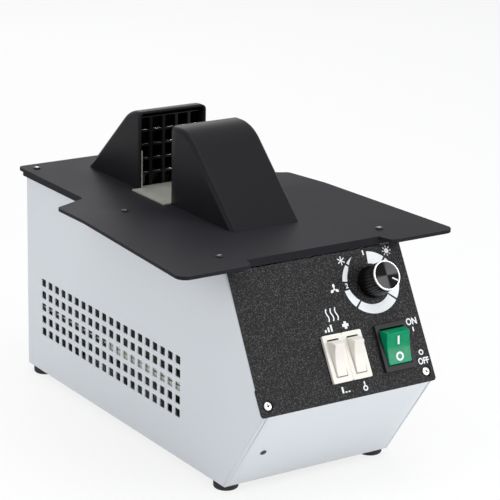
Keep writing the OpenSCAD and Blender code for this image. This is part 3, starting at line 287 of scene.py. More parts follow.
def fit(name, bm, place, finish, replaces=(), body="cabinet", sheet=0.0, sharp=32):
    """Turns a bmesh in millimetres into a piece of the object that rides on its body."""
    bmesh.ops.recalc_face_normals(bm, faces=bm.faces)
    mesh = bpy.data.meshes.new(name)
    bm.to_mesh(mesh)
    bm.free()
    mesh.transform(place)
    if place.determinant() < 0:
        mesh.flip_normals()
    mesh.materials.append(finish)
    mesh.shade_smooth()
    mesh.set_sharp_from_angle(angle=radians(sharp))
    part = bpy.data.objects.new(name, mesh)
    scene_objects.link(part)
    if sheet:
        thickness = part.modifiers.new("sheet", "SOLIDIFY")
        thickness.thickness = sheet / 1000
        thickness.offset = -1
    flats = part.modifiers.new("flat_faces", "WEIGHTED_NORMAL")
    flats.keep_sharp = True
    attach(part, body)
    if replaces:
        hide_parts(*replaces)
    return part


# Powder coat, sprayed and baked: light grey and half matt. Its orange peel, drawn coarser than
# the real one so that it shows, breaks up the highlights.
powder_grey, tree, shader = new_finish("powder_coated_steel_grey", "#d3d7db", 0.42)
peel_mm, cloud_mm = 1.4, 60
surface_detail(tree, shader, peel_mm, 2.0, relief=(0.12, 0.1))
surface_detail(tree, shader, cloud_mm, 3.0, gloss=(0.36, 0.48))

bend_mm, straight_mm, flange_mm = 2.2, 0.4, 12.0
joggle_mm = sheet_mm + 0.1
top_drop, nose_setback = 3.2, 2.4
slope_top = Vector((nose_in.x + (body_h - top_drop - nose_in.y) * tan(lean), body_h - top_drop))
side_outline = [nose_in, chin_low, Vector((body_l, 0)), Vector((body_l, body_h)),
                Vector((slope_top.x + nose_setback, body_h)), slope_top]
vent_pitch = Vector((10.0, 9.5))
vent_first = Vector((body_l - 27, 33.4))
vent_w, vent_h, vent_round = 6.5, 6.0, 0.9
vent_columns, vent_rows = 20, 5
vents = [rectangle(vent_w, vent_h, vent_round,
                   (vent_first.x - c * vent_pitch.x, vent_first.y + r * vent_pitch.y))
         for c in range(vent_columns) for r in range(vent_rows)]


def quarter_round(radius, steps):
    """How far an edge rounded to a radius is set back, and how deep, from its face to its side."""
    return [(radius * (1 - sin(pi / 2 * k / steps)), radius * (1 - cos(pi / 2 * k / steps)))
            for k in range(steps + 1)]


def folded_side():
    """The sheet seen from outside: x along the cabinet, y up, z outwards."""
    bm = bmesh.new()
    bend_steps = 5
    levels = quarter_round(bend_mm, bend_steps)
    levels += [(0.0, bend_mm + straight_mm), (joggle_mm, bend_mm + straight_mm), (joggle_mm, flange_mm)]
    rings = [add_loop(bm, inset(side_outline, back_in), -depth) for back_in, depth in levels]
    for outer, inner in zip(rings, rings[1:]):
        bridge(bm, outer, inner)
    fill(bm, [rings[0]] + [add_loop(bm, vent) for vent in vents])
    return bm


facing_out = Matrix(((0, 0, 1, 0), (1, 0, 0, 0), (0, 1, 0, 0), (0, 0, 0, 1)))
side_place = at(half_w, 0, 0) @ facing_out
hands = (("right", Matrix.Identity(4)), ("left", Matrix.Scale(-1, 4, Vector((1, 0, 0)))))
for side, hand in hands:
    fit(side + "_side_sheet", folded_side(), hand @ side_place, powder_grey,
        [side + "_side"], sheet=sheet_mm)

# ---- Chin, base and rear sheets -------------------------------------------------------
# The chin is a second folded sheet between the sides, with a return behind the control
# panel and one over the base. The base and rear are plain sheets. All are the same grey.

seam_mm = 0.3
chin_half = half_w - bend_mm - straight_mm - seam_mm


def folded_strip(profile, reach):
    """A sheet that follows a profile of (y, z) points; reach(i) is its half width at point i."""
    bm = bmesh.new()
    across = 12
    rows = []
    for i, (y, z) in enumerate(profile):
        half = reach(i)
        rows.append([bm.verts.new((half * (2 * k / across - 1), y, z)) for k in range(across + 1)])
    for lower, upper in zip(rows, rows[1:]):
        bridge(bm, lower, upper, closed=False)
    return bm


slope_run = (slope_top - nose_in).normalized()
return_mm, return_inset = 12.0, 10.0
nose_round, heel_round = 1.6, 1.2
chin_profile = rounded(
    [nose_in + slope_run * return_mm, nose_in, chin_low, chin_low + Vector((return_mm, 0.0))],
    [0, nose_round, heel_round, 0], closed=False)
seam_flare = 0.7
seam_run_mm = 17.0


def chin_reach(i):
    """Half width of the chin at a profile point: the seam opens a little towards the nose."""
    depth = max(0.0, nose_in.y - chin_profile[i].y)
    rise = max(0.0, 1 - depth / seam_run_mm)
    inner = return_inset if i in (0, len(chin_profile) - 1) else 0.0
    return chin_half - seam_flare * rise * rise - inner


bm = folded_strip(chin_profile, chin_reach)
bmesh.ops.reverse_faces(bm, faces=bm.faces)
fit("chin_sheet", bm, cabinet, powder_grey, ["chin_panel"], sheet=sheet_mm)


def thicken(bm, thick):
    """Raises a flat region into a plate."""
    raised = bmesh.ops.extrude_face_region(bm, geom=bm.faces[:])["geom"]
    bmesh.ops.translate(bm, vec=(0, 0, thick), verts=[v for v in raised if isinstance(v, bmesh.types.BMVert)])


def soften(bm, over_degrees, radius, segments):
    """Rounds every edge that turns more than an angle."""
    bmesh.ops.recalc_face_normals(bm, faces=bm.faces)
    edges = [e for e in bm.edges if len(e.link_faces) == 2 and e.calc_face_angle() > radians(over_degrees)]
    bmesh.ops.bevel(bm, geom=edges, offset=radius, segments=segments, profile=0.5, affect="EDGES",
                    clamp_overlap=True)


def cut_plate(outline, holes, thick, soft=0.3, steps=2):
    """A flat plate from z = 0 to its face at z = thick, with holes and softened edges."""
    bm = bmesh.new()
    fill(bm, [add_loop(bm, loop) for loop in [outline] + list(holes)])
    thicken(bm, thick)
    if soft:
        soften(bm, 50, soft, steps)
    return bm


def circle(radius, centre=(0, 0), steps=40):
    """The outline of a round."""
    turns = (2 * pi * k / steps for k in range(steps))
    return [Vector((centre[0] + radius * cos(a), centre[1] + radius * sin(a))) for a in turns]


rear_half = chin_half
rear_gap = 0.2
rear_screw_x = half_w - 7
rear_screw_zs = (14.0, body_h - 16)
inlet_low, inlet_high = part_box("mains_inlet")
inlet_z = ((inlet_low[2] + inlet_high[2]) / 2 - base_z) * 1000
inlet_w = (inlet_high[0] - inlet_low[0]) * 1000
inlet_h = (inlet_high[2] - inlet_low[2]) * 1000
fuse_low, fuse_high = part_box("fuse_holder")
fuse_x = (fuse_low[0] + fuse_high[0]) / 2 * 1000
fuse_hole_r, screw_hole_r = 6.2, 1.6
socket_w, socket_h, socket_room = 24.4, 16.8, 5
inlet_screw_x = 20.0
rear_holes = [circle(screw_hole_r, (s * rear_screw_x, z)) for s in (-1, 1) for z in rear_screw_zs]
rear_holes.append(rectangle(socket_w + socket_room, socket_h + socket_room, 3, (0, inlet_z), 5))
rear_holes += [circle(screw_hole_r, (s * inlet_screw_x, inlet_z)) for s in (-1, 1)]
rear_holes.append(circle(fuse_hole_r, (-fuse_x, inlet_z)))
facing_back = Matrix(((-1, 0, 0, 0), (0, 0, 1, 0), (0, 1, 0, 0), (0, 0, 0, 1)))
rear_outline = [(-rear_half, rear_gap), (rear_half, rear_gap),
                (rear_half, body_h - rear_gap), (-rear_half, body_h - rear_gap)]
fit("rear_sheet", cut_plate(rear_outline, rear_holes, sheet_mm, 0.25),
    at(0, body_l - sheet_mm, 0) @ facing_back, powder_grey,
    ["rear_panel"])


def dress(finish, *nodes):
    """Gives a finish to CAD nodes whose shape is right as it stands."""
    for node in nodes:
        for slot in frame["nodes"][node].material_slots:
            slot.link = "OBJECT"
            slot.material = finish


dress(powder_grey, "base_plate")

# ---- Control panel --------------------------------------------------------------------
# A 1.5 mm steel plate laid over the sloping flanges of the sides, with a notch in its left
# edge. The switches and the dial are fitted through it, and a screw sits in each low corner.

panel = at(0, 0, nose_h) @ Matrix.Rotation(pi / 2 - lean, 4, "X")
plate_half = plate_high[0] * 1000
plate_len = ((plate_high[2] - base_z) * 1000 - nose_h) / cos(lean)
panel_screw_u, panel_screw_v = half_w - 4.8, 7.0
knob_u, knob_v = 38.8, 72.4
switch_v = 27.4
narrow_w, power_w, bezel_len = 15.35, 25.4, 32.0
pair_middle, pair_gap, power_u = 3.9, 0.1, 43.4
pair_u = [pair_middle + s * (narrow_w + pair_gap) / 2 for s in (-1, 1)]

# Wrinkle paint, which shrinks into a fine crust as it bakes: matt black with a 0.9 mm grain.
# The grey sparkles on the peaks of its grain are painted highlights in its colour.
wrinkle_black, tree, shader = new_finish("wrinkle_paint_black", "#1b1b1c", 0.48, Specular_IOR_Level=0.15)
spot = add_node(tree, "TexCoord", {})
grain_mm = 0.9
grain = add_node(tree, "TexNoise", {"Scale": 1000 / grain_mm, "Detail": 3.0, "Roughness": 0.6},
                 [("Vector", spot, "Object")])
grain_bump = add_node(tree, "Bump", {"Strength": 0.9, "Distance": 0.0003}, [("Height", grain, 0)])
tree.links.new(grain_bump.outputs[0], shader.inputs["Normal"])
# Painted highlight: the peaks of the grain are lighter in colour, for their sparkle.
painted_sparkles = add_node(tree, "MapRange", {1: 0.5, 2: 0.72, 3: 0.0, 4: 1.0}, [(0, grain, 0)])
shade = add_node(tree, "Mix", {"data_type": "RGBA", 6: colour("#121213"), 7: colour("#59595b")},
                 [(0, painted_sparkles, 0)])
tree.links.new(shade.outputs[2], shader.inputs["Base Color"])

step_v, step_rise, step_in, taper_in = 18.0, 0.8, 0.9, 2.6
corner_r, top_r, step_r = 2.2, 0.8, 0.2
panel_outline = rounded(
    [(-plate_half, 0), (plate_half, 0), (plate_half, plate_len), (-plate_half + taper_in, plate_len),
     (-plate_half + step_in, step_v + step_rise), (-plate_half, step_v)],
    [corner_r, corner_r, top_r, top_r, step_r, step_r], 4)
bezel_lap, shaft_hole_r, recess_hole_r = 2.6, 3.8, 4.0
panel_holes = [rectangle(w - bezel_lap, bezel_len - bezel_lap, 0.4, (u, switch_v))
               for u, w in ((pair_u[0], narrow_w), (pair_u[1], narrow_w), (power_u, power_w))]
panel_holes.append(circle(shaft_hole_r, (knob_u, knob_v)))
panel_holes += [circle(recess_hole_r, (s * panel_screw_u, panel_screw_v)) for s in (-1, 1)]
fit("panel_plate", cut_plate(panel_outline, panel_holes, plate_mm, 0.35),
    panel @ Matrix.Translation((0, 0, -plate_mm)), wrinkle_black, ["control_panel"])


def lathe(profile, steps=48, wave=None):
    """A turned shape from (radius, height) points; wave(angle, radius, height) may move the radius."""
    bm = bmesh.new()
    rows = []
    for radius, height in profile:
        ring = []
        for k in range(steps):
            angle = 2 * pi * k / steps
            r = wave(angle, radius, height) if wave else radius
            ring.append(bm.verts.new((r * cos(angle), r * sin(angle), height)))
        rows.append(ring)
    for lower, upper in zip(rows, rows[1:]):
        bridge(bm, lower, upper)
    bmesh.ops.remove_doubles(bm, verts=bm.verts, dist=1e-4)
    return bm


def copies(bm, places):
    """The same shape at several places, as one bmesh."""
    mesh = bpy.data.meshes.new("pattern")
    bm.to_mesh(mesh)
    bm.free()
    joined = bmesh.new()
    for place in places:
        before = len(joined.verts)
        joined.from_mesh(mesh)
        joined.verts.ensure_lookup_table()
        bmesh.ops.transform(joined, matrix=place, verts=joined.verts[before:])
    bpy.data.meshes.remove(mesh)
    return joined


recess = [(4.0, -0.15), (3.9, -0.5), (3.7, -0.95), (3.0, -1.1), (1.6, -1.12)]
bm = copies(lathe(recess), [Matrix.Translation((s * panel_screw_u, panel_screw_v, 0)) for s in (-1, 1)])
fit("panel_recesses", bm, panel, wrinkle_black)

# ---- Panel print ----------------------------------------------------------------------
# White screen print, a few hundredths of a millimetre thick: a dial band that swells with
# the setting, plain numerals, plain signs for fan, cold, warm, high and low, and ON and OFF.

# Screen-printing ink: flat matt white, a little greyer between the dots of the screen. The
# dots are drawn 0.9 mm apart, coarser than real ones, so that they show.
print_white, tree, shader = new_finish("screen_print_white", "#e6e9ec", 0.55)
screen_mm, ink_mm = 0.9, 0.06
surface_detail(tree, shader, screen_mm, 2.0, tones=("#d4d8db", "#f2f4f5"))


def printed(shapes):
    """Flat outlines, each with its own holes, as a thin film on the panel's face."""
    bm = bmesh.new()
    for outline, holes in shapes:
        fill(bm, [add_loop(bm, loop) for loop in [outline] + list(holes)])
    thicken(bm, ink_mm)
    return bm


def stroke(points, width):
    """The outline of a line of constant width through points."""
    points = [Vector(p) for p in points]
    left, right = [], []
    for i, p in enumerate(points):
        along = (points[min(i + 1, len(points) - 1)] - points[max(i - 1, 0)]).normalized()
        side = Vector((-along.y, along.x)) * width / 2
        left.append(p - side)
        right.append(p + side)
    return left + right[::-1]


band_r, band_least, band_steps = 21.8, 0.12, 20
band_wide, band_tall = 1.02, 0.97
band_gap = radians(4)
numeral_gap = radians(7)
swell = [(116, 0.0), (131, 1.9), (146, 3.3), (190, 4.1), (224, 5.9), (273, 6.7), (443, 8.5)]
numeral_cut = 178
band_cuts = [116, 135, numeral_cut, 224, 318, 405, 443]


def band_width(angle):
    """Width of the dial band at an angle in degrees."""
    for (a0, w0), (a1, w1) in zip(swell, swell[1:]):
        if angle <= a1:
            return w0 + (w1 - w0) * (angle - a0) / (a1 - a0)
    return swell[-1][1]


def on_band(angle, depth):
    """A point of the band, from its outer edge at depth 0 to its inner edge at depth 1."""
    radius = band_r - depth * max(band_least, band_width(angle * 180 / pi))
    return Vector((knob_u + band_wide * radius * cos(angle), knob_v + band_tall * radius * sin(angle)))


band = []
for start, end in zip(band_cuts, band_cuts[1:]):
    a0 = radians(start) + (band_gap / 2 if start != band_cuts[0] else 0)
    a1 = radians(end) - (band_gap / 2 if end != band_cuts[-1] else 0)
    if start == numeral_cut:
        a0 += numeral_gap
    if end == numeral_cut:
        a1 -= numeral_gap
    arc = [a0 + (a1 - a0) * k / band_steps for k in range(band_steps + 1)]
    band.append(([on_band(a, 0) for a in arc] + [on_band(a, 1) for a in reversed(arc)], []))
fit("dial_band", printed(band), panel, print_white)


def spoke(centre, angle, start, end, width):
    """A bar that points away from a centre."""
    way = Vector((cos(angle), sin(angle)))
    return stroke([Vector(centre) + way * start, Vector(centre) + way * end], width), []


def star(centre, arms, inner, outer, width):
    """Bars all round a centre."""
    return [spoke(centre, 2 * pi * k / arms + pi / 2, inner, outer, width) for k in range(arms)]


def wave_line(x, y0, y1, swing, width, steps=12):
    """One upright wave."""
    return (stroke([(x + swing * sin(2 * pi * k / steps), y0 + (y1 - y0) * k / steps)
                    for k in range(steps + 1)], width), [])


def bars(u, foot, heights, wide=1.4, pitch=2.4):
    """Upright bars that stand in a row on one line."""
    return [(rectangle(wide, tall, 0.1, (u + k * pitch, foot + tall / 2)), [])
            for k, tall in enumerate(heights)]


def cross_outline(bar, arm, centre=(0, 0)):
    """A plain cross; bar is half its bar's width and arm is half its span."""
    corners = [(-bar, -arm), (bar, -arm), (bar, -bar), (arm, -bar), (arm, bar), (bar, bar),
               (bar, arm), (-bar, arm), (-bar, bar), (-arm, bar), (-arm, -bar), (-bar, -bar)]
    return [Vector((centre[0] + x, centre[1] + y)) for x, y in corners]


heat_at, cold_at, warm_at, fan_at = (2.0, 52.0), (20.0, 90.2), (57.6, 91.4), Vector((9.0, 72.4))
heat_tall, heat_pitch, cold_r, line_w = 8.6, 3.6, 3.0, 0.7
heat_sign = [wave_line(heat_at[0] + k * heat_pitch, heat_at[1], heat_at[1] + heat_tall, 0.7, 0.9)
             for k in (-1, 0, 1)]
cold_sign = [spoke(cold_at, pi / 2, -cold_r, cold_r, line_w)]
cold_sign += [spoke(cold_at, a, s * 0.5, s * cold_r, line_w) for a in (pi / 6, 5 * pi / 6) for s in (-1, 1)]
warm_sign = [(circle(1.7, warm_at, 24), [])] + star(warm_at, 8, 2.3, 3.5, 0.6)
fan_sign = [(circle(0.8, fan_at, 20), [])]
blade_reach, blade_long, blade_wide = 2.3, 1.35, 0.95
for k in range(3):
    a = pi / 2 + 2 * pi * k / 3
    way, side = Vector((cos(a), sin(a))), Vector((-sin(a), cos(a)))
    blade = [fan_at + way * (blade_reach + blade_long * cos(t)) + side * blade_wide * sin(t)
             for t in (2 * pi * i / 20 for i in range(20))]
    fan_sign.append((blade, []))
high_sign = bars(-6.0, 45.4, (1.8, 3.2, 4.6))
low_sign = bars(-5.0, 4.6, (4.2, 0.9, 0.9))
plus_sign = [(cross_outline(1.0, 2.5, (10.1, 47.9)), [])]
thermo_at, ring_at = (12.8, 4.9), (63.2, 20.1)
thermo_sign = [(circle(1.9, thermo_at, 28), [circle(1.0, thermo_at, 20)]),
               (rectangle(1.1, 2.6, 0.3, (thermo_at[0], thermo_at[1] + 3.3)), [])]
switch_signs = [(rectangle(1.0, 3.0, 0.1, (62.0, 36.3)), []),
                (circle(1.9, ring_at, 28), [circle(1.05, ring_at, 24)])]
signs = (heat_sign + cold_sign + warm_sign + fan_sign + high_sign + low_sign + plus_sign + thermo_sign
         + switch_signs)
fit("panel_signs", printed(signs), panel, print_white)

letter_bold = 0.03


def lettering(name, words, size, centre, widen=1.0):
    """Plain letters as a thin printed film."""
    curve = bpy.data.curves.new(name, "FONT")
    curve.body = words
    curve.size = size
    curve.align_x = "CENTER"
    curve.align_y = "CENTER"
    curve.extrude = ink_mm / 2
    curve.offset = size * letter_bold
    letter = bpy.data.objects.new(name, curve)
    scene_objects.link(letter)
    bpy.context.view_layer.update()
    mesh = bpy.data.meshes.new_from_object(letter.evaluated_get(bpy.context.evaluated_depsgraph_get()))
    bpy.data.objects.remove(letter)
    bm = bmesh.new()
    bm.from_mesh(mesh)
    bpy.data.meshes.remove(mesh)
    bmesh.ops.remove_doubles(bm, verts=bm.verts, dist=1e-4)
    place = panel @ Matrix.Translation((centre[0], centre[1], ink_mm / 2)) @ Matrix.Diagonal((widen, 1, 1, 1))
    return fit(name, bm, place, print_white)


lettering("numeral_1", "1", 4.4, (38.7, 92.7), 1.5)
lettering("numeral_2", "2", 4.6, (19.3, 72.9))
lettering("word_on", "ON", 6.2, (62.2, 41.4), 0.9)
lettering("word_off", "OFF", 5.9, (63.4, 14.0), 0.84)

# ---- Rocker switches ------------------------------------------------------------------
# Snap-in rockers: two in ivory side by side, and a wider one with a black bezel and a green
# rocker. Each rocker tips about a pivot in its well, which is 7 mm deep.

narrow_side, power_side = 3.1, 2.7
bezel_h, bezel_lift, well_deep, shell_deep = 2.2, 0.1, 7.0, 22.0
rocker_r = 12.1
rocker_gap, slot_gap = 0.3, 0.5
rocker_tilt = radians(18)
rocker_end, rocker_hollow, rocker_low = radians(32), 1.4, 2.4
rocker_draft = 0.115

# Moulded ABS: warm ivory and softly translucent, with a mould texture that dulls its gloss.
ivory_abs, tree, shader = new_finish("moulded_abs_ivory", "#e4e0d8", 0.34, Specular_IOR_Level=0.3,
                                     Subsurface_Weight=0.12, Subsurface_Scale=0.002)
mould_mm = 0.8
surface_detail(tree, shader, mould_mm, 2.0, relief=(0.06, 0.1))

# Moulded nylon: charcoal and silky, as its surface is a little rough from the mould.
black_nylon, tree, shader = new_finish("moulded_nylon_black", "#232225", 0.4, Specular_IOR_Level=0.2)
surface_detail(tree, shader, mould_mm, 2.0, relief=(0.15, 0.1))

# Tinted polycarbonate, made for a lamp behind it: smooth and glossy, and its green is deeper
# in some places than in others.
clear_green, tree, shader = new_finish("polycarbonate_green", "#0b8f5e", 0.2, Specular_IOR_Level=0.12,
                                       Transmission_Weight=0.1)
tint_mm = 5.0
surface_detail(tree, shader, tint_mm, 2.0, tones=("#037a50", "#0aa070"))


def tub(bm, outline, rim, floor):
    """Walls that go down from a rim to a closed floor."""
    upper, lower = add_loop(bm, outline, rim), add_loop(bm, outline, floor)
    bridge(bm, lower, upper)
    fill(bm, [lower])


def switch_body(width, side):
    """A bezel with its open well, which leaves a slot above the raised end of the rocker."""
    well = rectangle(width - 2 * side, 2 * (rocker_r + rocker_gap) + slot_gap, 0.4, (0, slot_gap / 2))
    bm = cut_plate(rectangle(width, bezel_len, 1.0), [well], bezel_h - bezel_lift, 0.55, 3)
    tub(bm, well, 0.7, -well_deep)
    tub(bm, rectangle(width - 2.8, bezel_len - 3.0, 0.3), 0.05, -shell_deep)
    return bm


edge_y, edge_z = rocker_r * cos(rocker_end), rocker_r * sin(rocker_end)
hollow_r = (edge_y * edge_y + rocker_hollow * rocker_hollow) / (2 * rocker_hollow)


def rocker_face(y):
    """Height of the hollow face of a level rocker."""
    return edge_z - rocker_hollow + hollow_r - sqrt(hollow_r * hollow_r - y * y)


def rocker(width, side):
    """A rocker in its own frame: x along the pivot, y along the lever, z out of the panel."""
    low_angle = -asin(rocker_low / rocker_r)
    arc_steps, face_steps, draft_from = 8, 14, 0.8
    arc = [low_angle + (rocker_end - low_angle) * k / arc_steps for k in range(arc_steps + 1)]
    face = [edge_y * (1 - 2 * k / face_steps) for k in range(1, face_steps)]
    profile = [Vector((rocker_r * cos(a), rocker_r * sin(a))) for a in arc]
    profile += [Vector((y, rocker_face(y))) for y in face]
    profile += [Vector((-rocker_r * cos(a), rocker_r * sin(a))) for a in reversed(arc)]
    half = width / 2 - side - rocker_gap / 2
    bm = bmesh.new()
    rows = [[bm.verts.new((hand * (half - rocker_draft * max(0.0, p.y - draft_from)), p.x, p.y))
             for p in profile] for hand in (-1, 1)]
    bridge(bm, rows[0], rows[1])
    bm.faces.new(rows[0])
    bm.faces.new(rows[1])
    soften(bm, 40, 0.4, 3)
    return bm


def on_panel(u, v, n=0.0):
    """A place on the panel: u across, v up the slope, n out of its face."""
    return panel @ Matrix.Translation((u, v, n))


tilt = Matrix.Rotation(rocker_tilt, 4, "X")
for name, u, width, side, bezel, bezel_slot, lever, lever_slot in (
        ("heat", pair_u[0], narrow_w, narrow_side, ivory_abs, "ivory_plastic", ivory_abs, "ivory_plastic"),
        ("boost", pair_u[1], narrow_w, narrow_side, ivory_abs, "ivory_plastic", ivory_abs, "ivory_plastic"),
        ("power", power_u, power_w, power_side, black_nylon, "black_plastic", clear_green, "green_plastic")):
    fit(name + "_bezel", switch_body(width, side), on_panel(u, switch_v, bezel_lift), bezel,
        [name + "_switch"])
    fit(name + "_lever", rocker(width, side), on_panel(u, switch_v) @ tilt, lever,
        [name + "_rocker"], body=name + "_rocker_body")

mark_sink, mark_rise = 0.02, 4.0
for name, mark_y, shapes in (
        ("mark_on", 5.1, [(rectangle(1.5, 5.8, 0.2), [])]),
        ("mark_off", -5.8, [(circle(3.05, (0, 0), 36), [circle(1.75, (0, 0), 32)])])):
    bm = printed(shapes)
    bmesh.ops.translate(bm, vec=(0, 0, -mark_sink), verts=bm.verts)
    bmesh.ops.scale(bm, vec=(1, 1, mark_rise), verts=bm.verts)
    place = on_panel(power_u, switch_v) @ tilt @ Matrix.Translation((0, mark_y, rocker_face(mark_y)))
    fit(name, bm, place @ Matrix.Rotation(asin(mark_y / hollow_r), 4, "X"), print_white,
        body="power_rocker_body")

# ---- Knob -----------------------------------------------------------------------------
# A fluted, moulded barrel with a thin spun cap pressed on. The cap's rim is left bright, its
# face is blackened, and a white line on it is the pointer. All of it turns with the shaft.

# Phenolic moulding: deep black and hard, with a polish that varies a little.
phenolic, tree, shader = new_finish("phenolic_black", "#070708", 0.22, Specular_IOR_Level=0.25)
surface_detail(tree, shader, mould_mm, 2.0, gloss=(0.16, 0.28))

flute_from, flute_r, flute_deep, flutes = 1.2, 10.1, 0.5, 30


def fluted(angle, radius, height):
    """Cuts round flutes into the barrel between its foot and its top."""
    if radius < flute_r or height < flute_from:
        return radius
    return radius - flute_deep * (0.5 + 0.5 * cos(flutes * angle)) ** 2


barrel = [(0.0, 3.4), (7.4, 3.4), (7.4, 1.0), (10.7, 1.0), (11.0, 1.3), (10.9, 3.0),
          (10.5, 10.0), (10.3, 16.0), (10.25, 18.2), (10.0, 18.7), (0.0, 18.7)]
fit("knob_barrel", lathe(barrel, 240, fluted), on_panel(knob_u, knob_v), phenolic, ["knob"],
    body="dial")

# Aluminium turned on a lathe: a thin bright ring whose gloss shows the marks of the tool.
bright_rim, tree, shader = new_finish("turned_aluminium", "#dcdcdc", 0.22, Metallic=1.0)
turn_mm = 0.5
surface_detail(tree, shader, turn_mm, 1.0, gloss=(0.16, 0.3))
rim = [(0.0, 18.8), (10.0, 18.8), (10.25, 18.95), (10.25, 19.6), (9.95, 20.0), (9.3, 20.0),
       (9.1, 19.75), (0.0, 19.75)]
fit("knob_rim", lathe(rim, 96), on_panel(knob_u, knob_v), bright_rim, ["knob_cap"], body="dial")

# Black anodised aluminium with fine turned rings. The two wedges of light that the rings draw out
# are painted into its colour as a lighter tone: a painted highlight, which turns with the knob.
spun_black, tree, shader = new_finish("anodised_aluminium_black", "#161618", 0.36, Metallic=0.7,
                                      Anisotropic=0.6, Specular_IOR_Level=0.2)
spot = add_node(tree, "TexCoord", {})
axis_tangent = add_node(tree, "Tangent", {"direction_type": "RADIAL", "axis": "Z"})
tree.links.new(axis_tangent.outputs[0], shader.inputs["Tangent"])
groove_mm = 0.5
grooves = add_node(tree, "TexWave", {"wave_type": "RINGS", "rings_direction": "Z",
                                     "Scale": 1000 / groove_mm * pi / 10}, [("Vector", spot, "Object")])
groove_bump = add_node(tree, "Bump", {"Strength": 0.2, "Distance": 0.0001}, [("Height", grooves, 0)])
tree.links.new(groove_bump.outputs[0], shader.inputs["Normal"])
# Painted highlight: two opposite wedges of the face are lighter in colour, for the reflection of the rings.
around = add_node(tree, "SeparateXYZ", {}, [(0, spot, "Object")])
angle = add_node(tree, "Math", {"operation": "ARCTAN2"}, [(0, around, 1), (1, around, 0)])
twice = add_node(tree, "Math", {"operation": "MULTIPLY", 1: 2.0}, [(0, angle, 0)])
wedge = add_node(tree, "Math", {"operation": "SINE"}, [(0, twice, 0)])
painted_highlight_mask = add_node(tree, "MapRange",
                      {"interpolation_type": "SMOOTHSTEP", 1: -0.35, 2: 0.45}, [(0, wedge, 0)])
shade = add_node(tree, "Mix", {"data_type": "RGBA", 6: colour("#060607"), 7: colour("#4c4c4e")},
                 [(0, painted_highlight_mask, 0)])
tree.links.new(shade.outputs[2], shader.inputs["Base Color"])

# The face keeps an origin of its own on the knob's axis, where its rings and wedges start.
face_r, face_n = 9.2, 19.8
bm = lathe([(0.0, face_n), (face_r, face_n)], 96)
mesh = bpy.data.meshes.new("knob_face")
bm.to_mesh(mesh)
bm.free()
mesh.materials.append(spun_black)
knob_face = bpy.data.objects.new("knob_face", mesh)
knob_face.matrix_world = on_panel(knob_u, knob_v)
scene_objects.link(knob_face)
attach(knob_face, "dial")

pointer_turn = Matrix.Rotation(radians(328), 4, "Z")
fit("knob_pointer", printed([(rectangle(4.6, 0.9, 0.2, (6.4, 0)), [])]),
    on_panel(knob_u, knob_v, face_n) @ pointer_turn, print_white, body="dial")

# ---- Tray -----------------------------------------------------------------------------
# One 2.4 mm plate with two wings that droop a little behind a crease, and a skirt that
# hangs just outside the cabinet. Six screws hold it down.

tray_low, tray_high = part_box("tray")
tray_mm, skirt_mm = 2.4, 1.8
tray_rear = (tray_high[1] - nose_y) * 1000
tray_top = (tray_high[2] - base_z) * 1000
skirt_bottom = (tray_low[2] - base_z) * 1000
notch_y = 47.5
wing = [(53, notch_y), (55.5, 37.5), (59.5, 36), (109, 36), (97, 220), (73.4, 225), (73.4, tray_rear)]
wing_radii = [1, 2, 3, 7, 5, 3, 4]

# Satin powder coat: violet black with little sheen, a fine tooth, and clouds where hands and
# cloths have rubbed it.
satin_black, tree, shader = new_finish("satin_coat_black", "#1f1e22", 0.5, Specular_IOR_Level=0.04)
tooth_mm = 0.9
surface_detail(tree, shader, tooth_mm, 3.0, relief=(0.16, 0.1))
surface_detail(tree, shader, cloud_mm, 4.0, gloss=(0.42, 0.6), tones=("#201f23", "#2a292d"))

tray_outline = rounded(wing + [(-x, y) for x, y in reversed(wing)], wing_radii + wing_radii[::-1], 6)
tray_screw_x = half_w - 4.1
tray_screw_ys = (62.0, 182.8, body_l - 10)
tray_holes = [circle(screw_hole_r, (s * tray_screw_x, y), 20) for s in (-1, 1) for y in tray_screw_ys]
throat_w, throat_l, throat_inset = 38.0, 40.0, 8.0
front_low, front_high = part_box("front_hood")
rear_low, rear_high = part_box("rear_hood")
front_face = (front_high[1] - nose_y) * 1000
rear_face = (rear_low[1] - nose_y) * 1000
tray_holes += [rectangle(throat_w, throat_l, 1, (0, front_face - throat_inset - throat_l / 2)),
               rectangle(throat_w, throat_l, 1, (0, rear_face + throat_inset + throat_l / 2))]
bm = cut_plate(tray_outline, tray_holes, tray_mm, 0.7, 3)
crease_y, droop, crease_run = 176.0, 0.045, 12
fold_x = half_w + 6
for fold_at, fold_across in (((0, crease_y, 0), (0, 1, 0)), ((fold_x, 0, 0), (1, 0, 0)),
                             ((-fold_x, 0, 0), (1, 0, 0))):
    bmesh.ops.bisect_plane(bm, geom=bm.verts[:] + bm.edges[:] + bm.faces[:], plane_co=fold_at,
                           plane_no=fold_across)
for v in bm.verts:
    if v.co.y > crease_y and abs(v.co.x) > fold_x:
        reach = min(1.0, (abs(v.co.x) - fold_x) / crease_run)
        v.co.z -= (v.co.y - crease_y) * droop * reach
fit("tray_plate", bm, at(0, 0, tray_top - tray_mm), satin_black, ["tray"])

